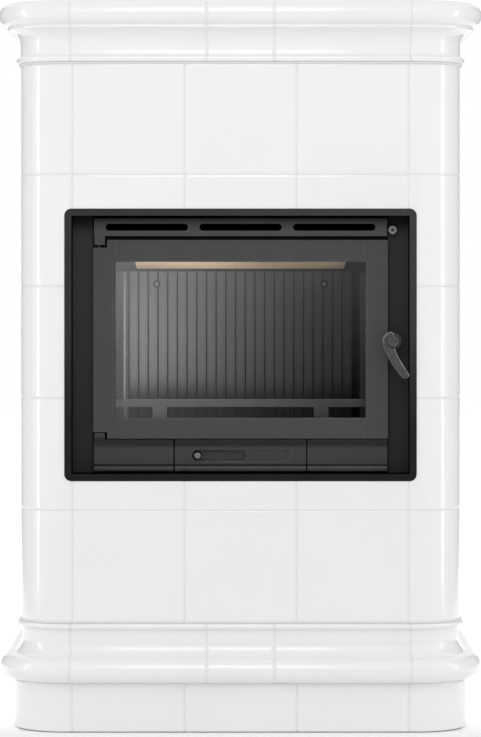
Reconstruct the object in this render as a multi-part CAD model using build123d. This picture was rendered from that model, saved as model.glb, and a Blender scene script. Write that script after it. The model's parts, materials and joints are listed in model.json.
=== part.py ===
from build123d import *

import os
from math import radians, sin

# A tiled wood-burning stove: a glazed tile casing round a cast-iron insert with a glass door.
# Millimetres, +Z up. The origin is on the floor, in the middle of the stove's width and depth.
# The front faces -Y. A "depth" is counted back from the front face of the tiles, and an
# "offset" is counted outwards from the faces of the tile field.

# ---------------------------------------------------------------- tile casing
TILE_PITCH = 222.0
JOINT_WIDTH = 2.0
FRONT_TILES = 3
SIDE_TILES = 2
COURSES = 5
CORNER_LEG = 108.0
CORNER_RADIUS = 95.0
TILE_FACE = 12.0
TILE_DEPTH = 45.0
TILE_WEB = 10.0
TILE_EASE = 1.5
GROUT_RECESS = 1.5

PLINTH_HEIGHT = 98.5
PLINTH_OFFSET = 12.5

# Base moulding, from the bottom: torus, cove, neck and bead.
BASE_HEIGHT = 117.5
TORUS_RADIUS = 24.5
TORUS_REACH = 41.5
NECK_OFFSET = -3.5
NECK_HEIGHT = 8.5
BASE_BEAD_RADIUS = 5.75
BASE_BEAD_REACH = 6.8

# Cornice, from the bottom: bead, flat with a flared foot, cove, fillet and roll.
CORNICE_HEIGHT = 122.0
CORNICE_BEAD_RADIUS = 6.5
CORNICE_BEAD_REACH = 9.5
CORNICE_FLARE_HEIGHT = 10.0
CORNICE_FLAT_HEIGHT = 25.0
CORNICE_FLAT_OFFSET = 0.5
FILLET_HEIGHT = 5.0
FILLET_REACH = 27.5
FILLET_STEP = 3.5
QUIRK_HEIGHT = 1.5
ROLL_RADIUS = 24.0
ROLL_REACH = 44.5

# Both mouldings are cut into lengths of their own, not at the tile joints.
MOULDING_CENTRE = 134.0
MOULDING_LENGTH = 270.0

# Top cover and rear panel.
COVER_THICKNESS = 3.0
COVER_LEDGE = 20.0
COVER_CLEARANCE = 0.5
PANEL_THICKNESS = 2.0
PANEL_INSET = 10.0
PANEL_FLANGE = 22.0
PANEL_BOTTOM = 60.0
PANEL_SLOTS = 9
PANEL_SLOT_LENGTH = 50.0
PANEL_SLOT_WIDTH = 8.0
PANEL_SLOT_PITCH = 70.0
PANEL_SLOT_ROW = 30.0

# ---------------------------------------------------------------- surround
FRAME_BOTTOM = 496.5
FRAME_FACE = 14.2
FRAME_FLANGE = 3.0
FRAME_SHEET = 2.0
FRAME_CORNER = 14.0
FRAME_FIT = 2.0
RECESS_DEPTH = 48.0
INFILL_WIDTH = 41.8
INFILL_THICKNESS = 2.0
INFILL_MARGIN = 1.5

# ---------------------------------------------------------------- insert front
FRONT_PLANE = 30.0
SILL_GAP = 3.3
SILL_HEIGHT = 63.5
SILL_LIP = 11.0
SILL_GROOVE = 3.0
SILL_BULGE = 1.0
SILL_BEVEL = 2.0
DOOR_GAP = 2.0
DOOR_WIDTH = 586.0
DOOR_HEIGHT = 395.0
DOOR_THICKNESS = 14.0
DOOR_CORNER = 3.0
DOOR_PLANE = 29.0
GRILLE_GAP = 8.0
GRILLE_HEIGHT = 35.0
TOP_GAP = 4.8
CASTING_WALL = 6.0
SEAM = 1.5

GRILLE_SLOTS = 3
GRILLE_SLOT_WIDTH = 13.8
GRILLE_SLOT_GAP = 22.5
GRILLE_END = 23.0

STILE_WIDTH = 44.0
TOP_RAIL = 43.5
BOTTOM_RAIL = 41.0
RAIL_STEP = 0.8
WINDOW_BEVEL = 2.5
GLASS_THICKNESS = 4.0
GLASS_LAP = 10.0
GLASS_REBATE = 6.0
GASKET_WIDTH = 9.0
GASKET_SET = 17.0
CLIP_REACH = 6.0
CLIP_THICKNESS = 1.5

HINGE_INSET = 11.5
HINGE_PIN_RADIUS = 4.0
HINGE_LUG = 22.0
HINGE_LUG_HEIGHT = 17.5
BOTTOM_LUG_HEIGHT = 11.0
LUG_GAP = 6.0
LUG_ROUNDING = 3.0
HINGE_EDGE_ROUNDING = 5.0
PIN_ENGAGEMENT = 22.0
RUNNING_CLEARANCE = 0.08

# ---------------------------------------------------------------- handle
HANDLE_SET = 9.0
HANDLE_HEIGHT = 193.5
BLADE_DROP = 71.5
EAR_RADIUS = 18.0
HUB_RADIUS = 12.0
HUB_FRONT = -26.0
HUB_CHAMFER = 1.0
BLADE_FRONT = -22.0
BLADE_THICKNESS = 14.0
BLADE_ROUNDING = 2.5
SPINDLE_RADIUS = 6.0
SPINDLE_COLLAR = 10.0
TONGUE_LENGTH = 25.0
TONGUE_WIDTH = 8.0
TONGUE_THICKNESS = 3.0
TONGUE_LEAN = 8.0
KEEPER_WIDTH = 5.0
KEEPER_HEIGHT = 12.0
KEEPER_LIP = 3.0

# ---------------------------------------------------------------- ash drawer
DRAWER_WIDTH = 261.0
DRAWER_GAP = 3.0
DRAWER_FRONT_THICKNESS = 10.0
PAN_INSET = 10.5
PAN_LENGTH = 280.0
PAN_TOP_GAP = 8.5
PAN_WALL = 2.0
PAN_STANDOFF = 6.0
PAN_FLOOR_GAP = 8.0
AIR_SLOT_LENGTH = 195.6
AIR_SLOT_WIDTH = 24.7
AIR_SLOT_SET = 31.5
AIR_SLOT_DISH = 2.5
AIR_OPEN_LENGTH = 108.0
SLIDER_THICKNESS = 2.0
SLIDER_LAP = 5.0
SLIDER_CLEARANCE = 0.3
AIR_KNOB_RADIUS = 8.0
AIR_KNOB_FRONT = 24.0
AIR_STEM_RADIUS = 3.0
AIR_KNOB_CHAMFER = 1.0

# ---------------------------------------------------------------- firebox
PLATE_THICKNESS = 8.0
PLATE_LAP = 4.0
MOUTH_MARGIN = 2.5
WALL_THICKNESS = 6.0
CHAMBER_INSET = 14.0
LINER_THICKNESS = 20.0
LINER_GAP = 4.0
BACK_LINER_DEPTH = 391.0
BACK_LINER_THICKNESS = 18.0
BACK_GAP = 6.0
HEARTH_RISE = 22.5
HEARTH_THICKNESS = 10.0
LINER_DROP = 19.5
CEILING_RISE = 10.5
FLUTE_PITCH = 20.9
FLUTE_WIDTH = 5.0
FLUTE_DEPTH = 3.0
SIDE_FLUTE_PITCH = 30.0
LINER_BOLT_RADIUS = 6.0
LINER_BOLT_INSET = 59.5
LINER_BOLT_DROP = 26.5

BAFFLE_INSET = 13.0
BAFFLE_THICKNESS = 20.0
BAFFLE_LENGTH = 256.0
BAFFLE_SLOPE = 6.3
BAFFLE_LAP = 11.4
BAFFLE_RAIL_THICKNESS = 4.0

GUARD_RAIL = 16.0
GUARD_HEIGHT = 57.0
GUARD_POST = 29.0
GUARD_POST_SPACING = 322.5
GUARD_THICKNESS = 6.0

GRATE_LENGTH = 190.0
GRATE_WIDTH = 300.0
GRATE_LEDGE = 8.0
GRATE_BARS = 11
GRATE_SLOT = 11.0
GRATE_CLEARANCE = 1.0

TIE_ROD_RADIUS = 4.0
TIE_ROD_INSET = 30.0
TIE_NUT_RADIUS = 8.0
TIE_NUT_HEIGHT = 7.0

# ---------------------------------------------------------------- flue and damper
FLUE_RADIUS = 80.0
FLUE_DEPTH = 315.0
FLUE_WALL = 2.0
COLLAR_WALL = 6.0
COLLAR_HEIGHT = 75.0
COLLAR_FLANGE = 14.0
SOCKET_LENGTH = 50.0
SOCKET_CLEARANCE = 0.5
FLAP_CLEARANCE = 6.0
FLAP_THICKNESS = 3.0
DAMPER_SPINDLE_RADIUS = 5.0
DAMPER_ROD_RADIUS = 4.0
DAMPER_ROD_SET = 9.6
DAMPER_ROD_DROP = 28.0
DAMPER_KNOB_RADIUS = 8.4
DAMPER_KNOB_LENGTH = 20.0
DAMPER_KNOB_GAP = 4.0
DAMPER_KNOB_CHAMFER = 1.5
CRANK_RADIUS = 35.0
CRANK_THICKNESS = 5.0
CRANK_WIDTH = 12.0
CRANK_PIN_RADIUS = 3.0
YOKE_THICKNESS = 3.0
YOKE_PLAY = 1.5
YOKE_WALL = 4.0
GUIDE_SHEET = 2.0
GUIDE_FOOT = 30.0
GUIDE_EYE = 10.0

# ---------------------------------------------------------------- stand
LEG_SIZE = 30.0
LEG_WALL = 3.0
LEG_INSET = 20.0
FOOT_RADIUS = 22.0
FOOT_HEIGHT = 10.0
STAND_TIE_HEIGHT = 180.0
STAND_TIE_DEPTH = 25.0

# ---------------------------------------------------------------- worked out from the above
BODY_HALF = FRONT_TILES * TILE_PITCH / 2 + CORNER_LEG
BODY_DEPTH = SIDE_TILES * TILE_PITCH + CORNER_LEG
OVERHANG = max(ROLL_REACH, TORUS_REACH)
FACE_Y = (OVERHANG - BODY_DEPTH) / 2
BASE_Z = PLINTH_HEIGHT
FIELD_Z = BASE_Z + BASE_HEIGHT
CORNICE_Z = FIELD_Z + COURSES * TILE_PITCH
TOP_Z = CORNICE_Z + CORNICE_HEIGHT
HALF_JOINT = JOINT_WIDTH / 2
INNER_FACE = BODY_HALF - TILE_DEPTH

FRAME_INNER_Z = FRAME_BOTTOM + FRAME_FACE
SILL_Z = FRAME_INNER_Z + SILL_GAP
SILL_TOP = SILL_Z + SILL_HEIGHT
DOOR_Z = SILL_TOP + DOOR_GAP
DOOR_TOP = DOOR_Z + DOOR_HEIGHT
DOOR_HALF = DOOR_WIDTH / 2
GRILLE_Z = DOOR_TOP + GRILLE_GAP
GRILLE_TOP = GRILLE_Z + GRILLE_HEIGHT
FRAME_INNER_TOP = GRILLE_TOP + TOP_GAP
FRAME_TOP = FRAME_INNER_TOP + FRAME_FACE
FRAME_INNER_HALF = DOOR_HALF + INFILL_WIDTH
FRAME_HALF = FRAME_INNER_HALF + FRAME_FACE

WINDOW_HALF = DOOR_HALF - STILE_WIDTH
WINDOW_Z = DOOR_Z + BOTTOM_RAIL
WINDOW_TOP = DOOR_TOP - TOP_RAIL
DOOR_BACK = DOOR_PLANE + DOOR_THICKNESS
HINGE_X = HINGE_INSET - DOOR_HALF
HINGE_DEPTH = DOOR_PLANE + DOOR_THICKNESS / 2
PLATE_FRONT = RECESS_DEPTH + INFILL_THICKNESS
PLATE_BACK = PLATE_FRONT + PLATE_THICKNESS
MOUTH_HALF = WINDOW_HALF + MOUTH_MARGIN
HANDLE_X = DOOR_HALF + HANDLE_SET
HANDLE_Z = DOOR_Z + HANDLE_HEIGHT

PLATE_HALF = DOOR_HALF + PLATE_LAP
PAN_WIDTH = DRAWER_WIDTH - 2 * PAN_INSET
HEARTH_HEIGHT = SILL_TOP + HEARTH_RISE
GUARD_TOP = HEARTH_HEIGHT + GUARD_HEIGHT
LINER_TOP = WINDOW_TOP - LINER_DROP
CEILING = DOOR_TOP + CEILING_RISE
CHAMBER_HALF = WINDOW_HALF - CHAMBER_INSET
BAFFLE_HALF = CHAMBER_HALF - BAFFLE_INSET
WALL_INNER = CHAMBER_HALF + LINER_THICKNESS + LINER_GAP
WALL_OUTER = WALL_INNER + WALL_THICKNESS
BACK_LINER_REAR = BACK_LINER_DEPTH + BACK_LINER_THICKNESS
BACK_WALL_DEPTH = BACK_LINER_REAR + BACK_GAP
INSERT_BACK = BACK_WALL_DEPTH + WALL_THICKNESS
INSERT_Z = SILL_Z - WALL_THICKNESS / 2
LINER_FRONT = PLATE_BACK + GUARD_THICKNESS + 1
CHAMBER_ROOF = CEILING + WALL_THICKNESS
DAMPER_ROD_X = DOOR_HALF + DAMPER_ROD_SET
DAMPER_ROD_Z = FRAME_INNER_TOP - DAMPER_ROD_DROP
DAMPER_PIN_SWING = CRANK_RADIUS * sin(radians(45))
DAMPER_SPINDLE_Z = DAMPER_ROD_Z + (CRANK_RADIUS + DAMPER_PIN_SWING) / 2


def at_depth(depth):
    """Y of what lies this far behind the front face of the tiles."""
    return FACE_Y + depth


def block(x_span, depth_span, z_span):
    """Rectangular piece between two planes in each direction."""
    (x0, x1), (near, far), (z0, z1) = x_span, depth_span, z_span
    centre = Pos((x0 + x1) / 2, at_depth((near + far) / 2), (z0 + z1) / 2)
    return centre * Box(x1 - x0, far - near, z1 - z0)


def front_shape(outline, depth_span):
    """Piece with an outline drawn as seen from the front (x, z), between two depths."""
    near, far = depth_span
    return Pos(0, at_depth(near), 0) * extrude(Plane.XZ * outline, amount=near - far)


def side_shape(outline, x_span):
    """Piece with an outline drawn as seen from its side (depth, z), between two x planes."""
    x0, x1 = x_span
    return Pos(x0, FACE_Y, 0) * extrude(Plane.YZ * outline, amount=x1 - x0)


def panel_outline(x_span, z_span):
    """Rectangle between two x values and two heights."""
    (x0, x1), (z0, z1) = x_span, z_span
    return Pos((x0 + x1) / 2, (z0 + z1) / 2) * Rectangle(x1 - x0, z1 - z0)


def row_of(outline, count, pitch):
    """Copies of an outline in a row along x, centred on the origin."""
    places = [(i - (count - 1) / 2) * pitch for i in range(count)]
    return Sketch() + [Pos(x, 0) * outline for x in places]


def rod_along_y(radius, x, z, depth_span):
    return front_shape(Pos(x, z) * Circle(radius), depth_span)


def rod_along_x(radius, depth, z, x_span):
    return side_shape(Pos(depth, z) * Circle(radius), x_span)


def rod_along_z(radius, x, depth, z_span):
    z0, z1 = z_span
    return Pos(x, at_depth(depth), z0) * extrude(Circle(radius), amount=z1 - z0)


def other_side(piece):
    """The same piece on the left."""
    return mirror(piece, about=Plane.YZ)


def both_sides(pieces):
    return list(pieces) + [other_side(piece) for piece in pieces]


def save(name, pieces):
    """Writes one node: a single piece or a group of separate ones."""
    group = pieces if isinstance(pieces, list) else [pieces]
    solids = [solid for piece in group for solid in piece.solids()]
    export_step(Compound(children=solids), f"parts/{name}.step")
    print(name, len(solids))


# ---------------------------------------------------------------- sections of the casing
def hollow_back(z_span):
    """Back half of a pressed tile's section, from its top face round the hollow to its bottom."""
    z0, z1 = z_span
    return [
        (-TILE_DEPTH, z1),
        (-TILE_DEPTH, z1 - TILE_WEB),
        (-TILE_FACE, z1 - TILE_WEB),
        (-TILE_FACE, z0 + TILE_WEB),
        (-TILE_DEPTH, z0 + TILE_WEB),
        (-TILE_DEPTH, z0),
    ]


def tile_section(z_span, offset=0.0):
    """Flat tile: a glazed face with eased edges and the webs behind it."""
    z0, z1 = z_span
    front = [
        (offset - TILE_EASE, z0),
        (offset, z0 + TILE_EASE),
        (offset, z1 - TILE_EASE),
        (offset - TILE_EASE, z1),
    ]
    return make_face(Polyline(*front, *hollow_back(z_span), close=True))


def base_section():
    """Torus, cove, neck and bead of the base moulding."""
    z0 = BASE_Z + HALF_JOINT
    z1 = FIELD_Z - HALF_JOINT
    torus_x = TORUS_REACH - TORUS_RADIUS
    crease_z = z0 + 2 * TORUS_RADIUS
    bead_x = BASE_BEAD_REACH - BASE_BEAD_RADIUS
    bead_z = z1 - 2 * BASE_BEAD_RADIUS
    neck_z = bead_z - NECK_HEIGHT
    torus = ThreePointArc(
        (torus_x, z0), (TORUS_REACH, z0 + TORUS_RADIUS), (torus_x, crease_z)
    )
    cove = TangentArc((NECK_OFFSET, neck_z), (torus_x, crease_z), tangent=(0, -1))
    neck = Polyline((NECK_OFFSET, neck_z), (NECK_OFFSET, bead_z), (bead_x, bead_z))
    bead = ThreePointArc(
        (bead_x, bead_z), (BASE_BEAD_REACH, bead_z + BASE_BEAD_RADIUS), (bead_x, z1)
    )
    back = Polyline((bead_x, z1), *hollow_back((z0, z1)), (torus_x, z0))
    return make_face([torus.edge(), cove.edge(), *neck.edges(), bead.edge(), *back.edges()])


def cornice_section():
    """Bead, flared flat, cove, fillet and roll of the cornice, and the ledge for the cover."""
    z0 = CORNICE_Z + HALF_JOINT
    bead_x = CORNICE_BEAD_REACH - CORNICE_BEAD_RADIUS
    bead_top = z0 + 2 * CORNICE_BEAD_RADIUS
    cove_z = bead_top + CORNICE_FLAT_HEIGHT
    roll_x = ROLL_REACH - ROLL_RADIUS
    roll_z = TOP_Z - 2 * ROLL_RADIUS
    fillet_top = roll_z - QUIRK_HEIGHT
    fillet_z = fillet_top - FILLET_HEIGHT
    cove_x = FILLET_REACH - FILLET_STEP
    ledge_z = TOP_Z - COVER_THICKNESS
    bead = ThreePointArc(
        (bead_x, z0), (CORNICE_BEAD_REACH, z0 + CORNICE_BEAD_RADIUS), (bead_x, bead_top)
    )
    flat = Polyline(
        (bead_x, bead_top),
        (CORNICE_FLAT_OFFSET, bead_top + CORNICE_FLARE_HEIGHT),
        (CORNICE_FLAT_OFFSET, cove_z),
    )
    cove = TangentArc((CORNICE_FLAT_OFFSET, cove_z), (cove_x, fillet_z), tangent=(0, 1))
    fillet_edge = Polyline(
        (cove_x, fillet_z),
        (FILLET_REACH, fillet_z),
        (FILLET_REACH, fillet_top),
        (roll_x, fillet_top),
        (roll_x, roll_z),
    )
    roll = ThreePointArc(
        (roll_x, roll_z), (ROLL_REACH, roll_z + ROLL_RADIUS), (roll_x, TOP_Z)
    )
    ledge = Polyline(
        (roll_x, TOP_Z),
        (COVER_LEDGE - TILE_DEPTH, TOP_Z),
        (COVER_LEDGE - TILE_DEPTH, ledge_z),
        *hollow_back((z0, ledge_z)),
        (bead_x, z0),
    )
    runs = [bead, flat, cove, fillet_edge, roll, ledge]
    return make_face([edge for run in runs for edge in run.edges()])


def web_section(z_span):
    """Web that closes the hollow at each end of a tile."""
    z0, z1 = z_span
    return panel_outline((-TILE_DEPTH, -TILE_FACE), (z0 + TILE_WEB, z1 - TILE_WEB))


def grout_section(z_span, offset):
    return panel_outline((-TILE_FACE, offset - GROUT_RECESS), z_span)


# ---------------------------------------------------------------- runs of the casing
def front_run(section, x_span):
    """A section carried along the front."""
    x0, x1 = x_span
    run = extrude(Plane.XZ * section, amount=x1 - x0)
    return Pos(x1, FACE_Y, 0) * Rot(0, 0, -90) * run


def side_run(section, depth_span):
    """A section carried along the right side."""
    near, far = depth_span
    return Pos(BODY_HALF, at_depth(far), 0) * extrude(Plane.XZ * section, amount=far - near)


def turned_corner(section):
    """A section turned a quarter circle round the front right corner."""
    swing = Axis((0, 0, 0), (0, 0, -1))
    turn = revolve(Plane.XZ * (Pos(CORNER_RADIUS, 0) * section), axis=swing, revolution_arc=90)
    return Pos(BODY_HALF - CORNER_RADIUS, at_depth(CORNER_RADIUS), 0) * turn


def front_piece(section, web, x_span):
    """One straight front tile or moulding length, with its end webs."""
    x0, x1 = x_span
    x0 += HALF_JOINT
    x1 -= HALF_JOINT
    left_web = front_run(web, (x0, x0 + TILE_WEB))
    right_web = front_run(web, (x1 - TILE_WEB, x1))
    return front_run(section, (x0, x1)) + left_web + right_web


def side_piece(section, web, depth_span):
    """One straight side tile or moulding length, with its end webs."""
    near, far = depth_span
    near += HALF_JOINT
    far -= 0 if far == BODY_DEPTH else HALF_JOINT
    near_web = side_run(web, (near, near + TILE_WEB))
    far_web = side_run(web, (far - TILE_WEB, far))
    return side_run(section, (near, far)) + near_web + far_web


def corner_piece(section, web, front_joint, side_joint):
    """Front right corner: a quarter turn with a short leg along each face."""
    x0 = front_joint + HALF_JOINT
    far = side_joint - HALF_JOINT
    turn_x = BODY_HALF - CORNER_RADIUS
    legs = front_run(section, (x0, turn_x)) + side_run(section, (CORNER_RADIUS, far))
    webs = front_run(web, (x0, x0 + TILE_WEB)) + side_run(web, (far - TILE_WEB, far))
    return turned_corner(section) + legs + webs


def tile_joints(count):
    """Joint positions of a row of tiles that is centred on the front."""
    return [(i - count / 2) * TILE_PITCH for i in range(count + 1)]


def spans(joints):
    return list(zip(joints[:-1], joints[1:]))


FIELD_JOINTS = tile_joints(FRONT_TILES)
FIELD_SIDE_JOINTS = [CORNER_LEG + i * TILE_PITCH for i in range(SIDE_TILES + 1)]
MOULDING_EDGE = MOULDING_CENTRE / 2 + MOULDING_LENGTH
MOULDING_JOINTS = [-MOULDING_EDGE, -MOULDING_CENTRE / 2, MOULDING_CENTRE / 2, MOULDING_EDGE]
MOULDING_CORNER = BODY_HALF - MOULDING_EDGE
MOULDING_SIDE_JOINTS = [MOULDING_CORNER, MOULDING_CORNER + MOULDING_LENGTH, BODY_DEPTH]


def course_span(course):
    z0 = FIELD_Z + course * TILE_PITCH
    return z0 + HALF_JOINT, z0 + TILE_PITCH - HALF_JOINT


def casing_opening():
    """Space that is cut out of the tiles for the insert."""
    half = FRAME_INNER_HALF + FRAME_SHEET + FRAME_FIT
    z0 = FRAME_INNER_Z - FRAME_SHEET - FRAME_FIT
    z1 = FRAME_INNER_TOP + FRAME_SHEET + FRAME_FIT
    return block((-half, half), (-OVERHANG, TILE_DEPTH + 1), (z0, z1))


def build_moulding(name, section, z_span):
    """Corners, front lengths and side lengths of one moulding or of the plinth."""
    web = web_section(z_span)
    front = [front_piece(section, web, span) for span in spans(MOULDING_JOINTS)]
    side = [side_piece(section, web, span) for span in spans(MOULDING_SIDE_JOINTS)]
    corner = corner_piece(section, web, MOULDING_EDGE, MOULDING_CORNER)
    save(f"{name}_front", front)
    save(f"{name}_sides", both_sides(side))
    save(f"{name}_corners", both_sides([corner]))


def build_plinth():
    z_span = (0, PLINTH_HEIGHT - HALF_JOINT)
    section = tile_section(z_span, PLINTH_OFFSET)
    web = web_section(z_span)
    front = [front_piece(section, web, span) for span in spans(FIELD_JOINTS)]
    side = [side_piece(section, web, span) for span in spans(FIELD_SIDE_JOINTS)]
    corner = corner_piece(section, web, FIELD_JOINTS[-1], CORNER_LEG)
    save("plinth_front", front)
    save("plinth_sides", both_sides(side))
    save("plinth_corners", both_sides([corner]))


def build_tile_field():
    opening = casing_opening()
    below = []
    above = []
    corners = []
    sides = []
    for course in range(COURSES):
        z_span = course_span(course)
        section = tile_section(z_span)
        web = web_section(z_span)
        middle = (z_span[0] + z_span[1]) / 2
        for span in spans(FIELD_JOINTS):
            left = front_piece(section, web, span) - opening
            if left.volume > 1:
                row = above if middle > (FRAME_INNER_Z + FRAME_INNER_TOP) / 2 else below
                row.append(left)
        corners.append(corner_piece(section, web, FIELD_JOINTS[-1], CORNER_LEG) - opening)
        sides += [side_piece(section, web, span) for span in spans(FIELD_SIDE_JOINTS)]
    save("front_tiles_below", below)
    save("front_tiles_above", above)
    save("corner_tiles", both_sides(corners))
    save("side_tiles", both_sides(sides))


def grout_band(z, offset):
    """Level joint that runs round the front and both sides."""
    section = grout_section((z - HALF_JOINT, z + HALF_JOINT), offset)
    turn_x = BODY_HALF - CORNER_RADIUS
    right = turned_corner(section) + side_run(section, (CORNER_RADIUS, BODY_DEPTH))
    return front_run(section, (-turn_x, turn_x)) + right + other_side(right)


def upright_joints(z_span, offset, front_joints, side_joints):
    """Upright joints of one course."""
    section = grout_section(z_span, offset)
    strips = [front_run(section, (x - HALF_JOINT, x + HALF_JOINT)) for x in front_joints]
    for depth in side_joints:
        strip = side_run(section, (depth - HALF_JOINT, depth + HALF_JOINT))
        strips += both_sides([strip])
    return strips


def build_grout():
    opening = casing_opening()
    plinth_span = (0, PLINTH_HEIGHT - HALF_JOINT)
    base_span = (BASE_Z + HALF_JOINT, FIELD_Z - HALF_JOINT)
    cornice_span = (CORNICE_Z + HALF_JOINT, TOP_Z - COVER_THICKNESS - HALF_JOINT)
    behind_mouldings = NECK_OFFSET - GROUT_RECESS
    pieces = upright_joints(plinth_span, 0, FIELD_JOINTS, FIELD_SIDE_JOINTS[:-1])
    for span in (base_span, cornice_span):
        pieces += upright_joints(
            span, behind_mouldings, MOULDING_JOINTS, MOULDING_SIDE_JOINTS[:-1]
        )
    for course in range(COURSES):
        pieces += upright_joints(course_span(course), 0, FIELD_JOINTS, FIELD_SIDE_JOINTS[:-1])
    pieces += [grout_band(BASE_Z, 0), grout_band(FIELD_Z, behind_mouldings)]
    pieces += [grout_band(FIELD_Z + i * TILE_PITCH, 0) for i in range(1, COURSES + 1)]
    cut = [piece - opening for piece in pieces]
    save("joint_grout", [piece for piece in cut if piece.volume > 1])


def build_covers():
    """Top cover with the flue hole, and the folded rear panel with its air slots."""
    lip = INNER_FACE + COVER_LEDGE - COVER_CLEARANCE
    near = TILE_DEPTH - COVER_LEDGE + COVER_CLEARANCE
    rounding = CORNER_RADIUS - near
    z_span = (TOP_Z - COVER_THICKNESS, TOP_Z)
    cover = block((-lip, lip), (near, BODY_DEPTH), z_span)
    front_edges = cover.edges().filter_by(Axis.Z).group_by(Axis.Y)[0]
    cover = fillet(front_edges, rounding)
    hole = socket_radius() + FLUE_WALL + SEAM
    cover -= rod_along_z(hole, 0, FLUE_DEPTH, z_span)
    save("top_cover", cover)

    back = BODY_DEPTH - PANEL_INSET
    half = INNER_FACE - COVER_CLEARANCE
    top = TOP_Z - COVER_THICKNESS
    sheet = block((-half, half), (back - PANEL_THICKNESS, back), (PANEL_BOTTOM, top))
    flange = block(
        (half - PANEL_THICKNESS, half),
        (back - PANEL_FLANGE, back - PANEL_THICKNESS),
        (PANEL_BOTTOM, top),
    )
    sheet += flange + other_side(flange)
    slot = SlotOverall(PANEL_SLOT_LENGTH, PANEL_SLOT_WIDTH)
    slots = row_of(slot, PANEL_SLOTS, PANEL_SLOT_PITCH)
    reach = (back - PANEL_THICKNESS, back)
    for z in (PANEL_BOTTOM + PANEL_SLOT_ROW, top - PANEL_SLOT_ROW):
        sheet -= front_shape(Pos(0, z) * slots, reach)
    save("rear_panel", sheet)


# ---------------------------------------------------------------- surround frame
def build_surround():
    width = 2 * FRAME_HALF
    height = FRAME_TOP - FRAME_BOTTOM
    centre = Pos(0, (FRAME_TOP + FRAME_BOTTOM) / 2)
    hole = centre * Rectangle(2 * FRAME_INNER_HALF, height - 2 * FRAME_FACE)
    face = centre * RectangleRounded(width, height, FRAME_CORNER) - hole
    sleeve = centre * Rectangle(
        2 * (FRAME_INNER_HALF + FRAME_SHEET), height - 2 * (FRAME_FACE - FRAME_SHEET)
    )
    frame = front_shape(face, (-FRAME_FLANGE, 0))
    frame += front_shape(sleeve - hole, (0, PLATE_FRONT))
    save("surround_frame", frame)

    edge = DOOR_HALF + INFILL_MARGIN
    panel = block(
        (edge, FRAME_INNER_HALF), (RECESS_DEPTH, PLATE_FRONT), (FRAME_INNER_Z, FRAME_INNER_TOP)
    )
    save("infill_left", other_side(panel))
    hole = DAMPER_ROD_RADIUS + RUNNING_CLEARANCE
    panel -= rod_along_y(hole, DAMPER_ROD_X, DAMPER_ROD_Z, (RECESS_DEPTH, PLATE_FRONT))
    save("infill_right", panel)


# ---------------------------------------------------------------- front of the insert
def build_front_plate():
    """Cast plate round the firebox mouth, with the drawer's way in below it."""
    outline = panel_outline((-PLATE_HALF, PLATE_HALF), (INSERT_Z, CHAMBER_ROOF))
    outline -= panel_outline(
        (-MOUTH_HALF, MOUTH_HALF), (WINDOW_Z - MOUTH_MARGIN, WINDOW_TOP + MOUTH_MARGIN)
    )
    way = PAN_WIDTH / 2 + SEAM
    outline -= panel_outline((-way, way), (INSERT_Z + WALL_THICKNESS, SILL_TOP - SEAM))
    save("front_plate", front_shape(outline, (PLATE_FRONT, PLATE_BACK)))


def hinge_bore(z_span):
    return rod_along_z(HINGE_PIN_RADIUS, HINGE_X, HINGE_DEPTH, z_span)


def build_air_grille():
    """Channel casting above the door with three slots and the upper hinge lug."""
    half = DOOR_HALF - SEAM
    z_span = (GRILLE_Z, GRILLE_TOP)
    strip = block((-half, half), (FRONT_PLANE, PLATE_FRONT), z_span)
    strip -= block(
        (-half + CASTING_WALL, half - CASTING_WALL),
        (FRONT_PLANE + CASTING_WALL, PLATE_FRONT),
        (GRILLE_Z + CASTING_WALL, GRILLE_TOP - CASTING_WALL),
    )
    pitch = (2 * (half - GRILLE_END) + GRILLE_SLOT_GAP) / GRILLE_SLOTS
    slot = SlotOverall(pitch - GRILLE_SLOT_GAP, GRILLE_SLOT_WIDTH)
    slots = row_of(slot, GRILLE_SLOTS, pitch)
    middle = (GRILLE_Z + GRILLE_TOP) / 2
    strip -= front_shape(Pos(0, middle) * slots, (FRONT_PLANE, FRONT_PLANE + CASTING_WALL))
    lug_z = GRILLE_Z - HINGE_LUG_HEIGHT
    lug = block((-half, HINGE_LUG - half), (FRONT_PLANE, DOOR_BACK), (lug_z, GRILLE_Z))
    lug = fillet(lug.edges().filter_by(Axis.Z), LUG_ROUNDING)
    strip += lug
    strip -= hinge_bore((lug_z, GRILLE_Z + CASTING_WALL))
    save("air_grille", strip)


def sill_outline(thickness):
    """Side view of the sill castings: a flat face, a groove and a rounded lip below it."""
    back = FRONT_PLANE + thickness
    groove_z = SILL_Z + SILL_LIP
    lip_front = FRONT_PLANE - SILL_BULGE
    points = [
        (FRONT_PLANE, SILL_TOP),
        (back, SILL_TOP),
        (back, SILL_Z),
        (lip_front + SILL_BEVEL, SILL_Z),
        (lip_front, SILL_Z + SILL_BEVEL),
        (lip_front, groove_z - SILL_BEVEL),
        (lip_front + SILL_BEVEL, groove_z),
        (FRONT_PLANE + SILL_GROOVE, groove_z),
        (FRONT_PLANE + SILL_GROOVE, groove_z + SILL_GROOVE),
        (FRONT_PLANE, groove_z + SILL_GROOVE),
    ]
    return make_face(Polyline(*points, close=True))


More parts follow.
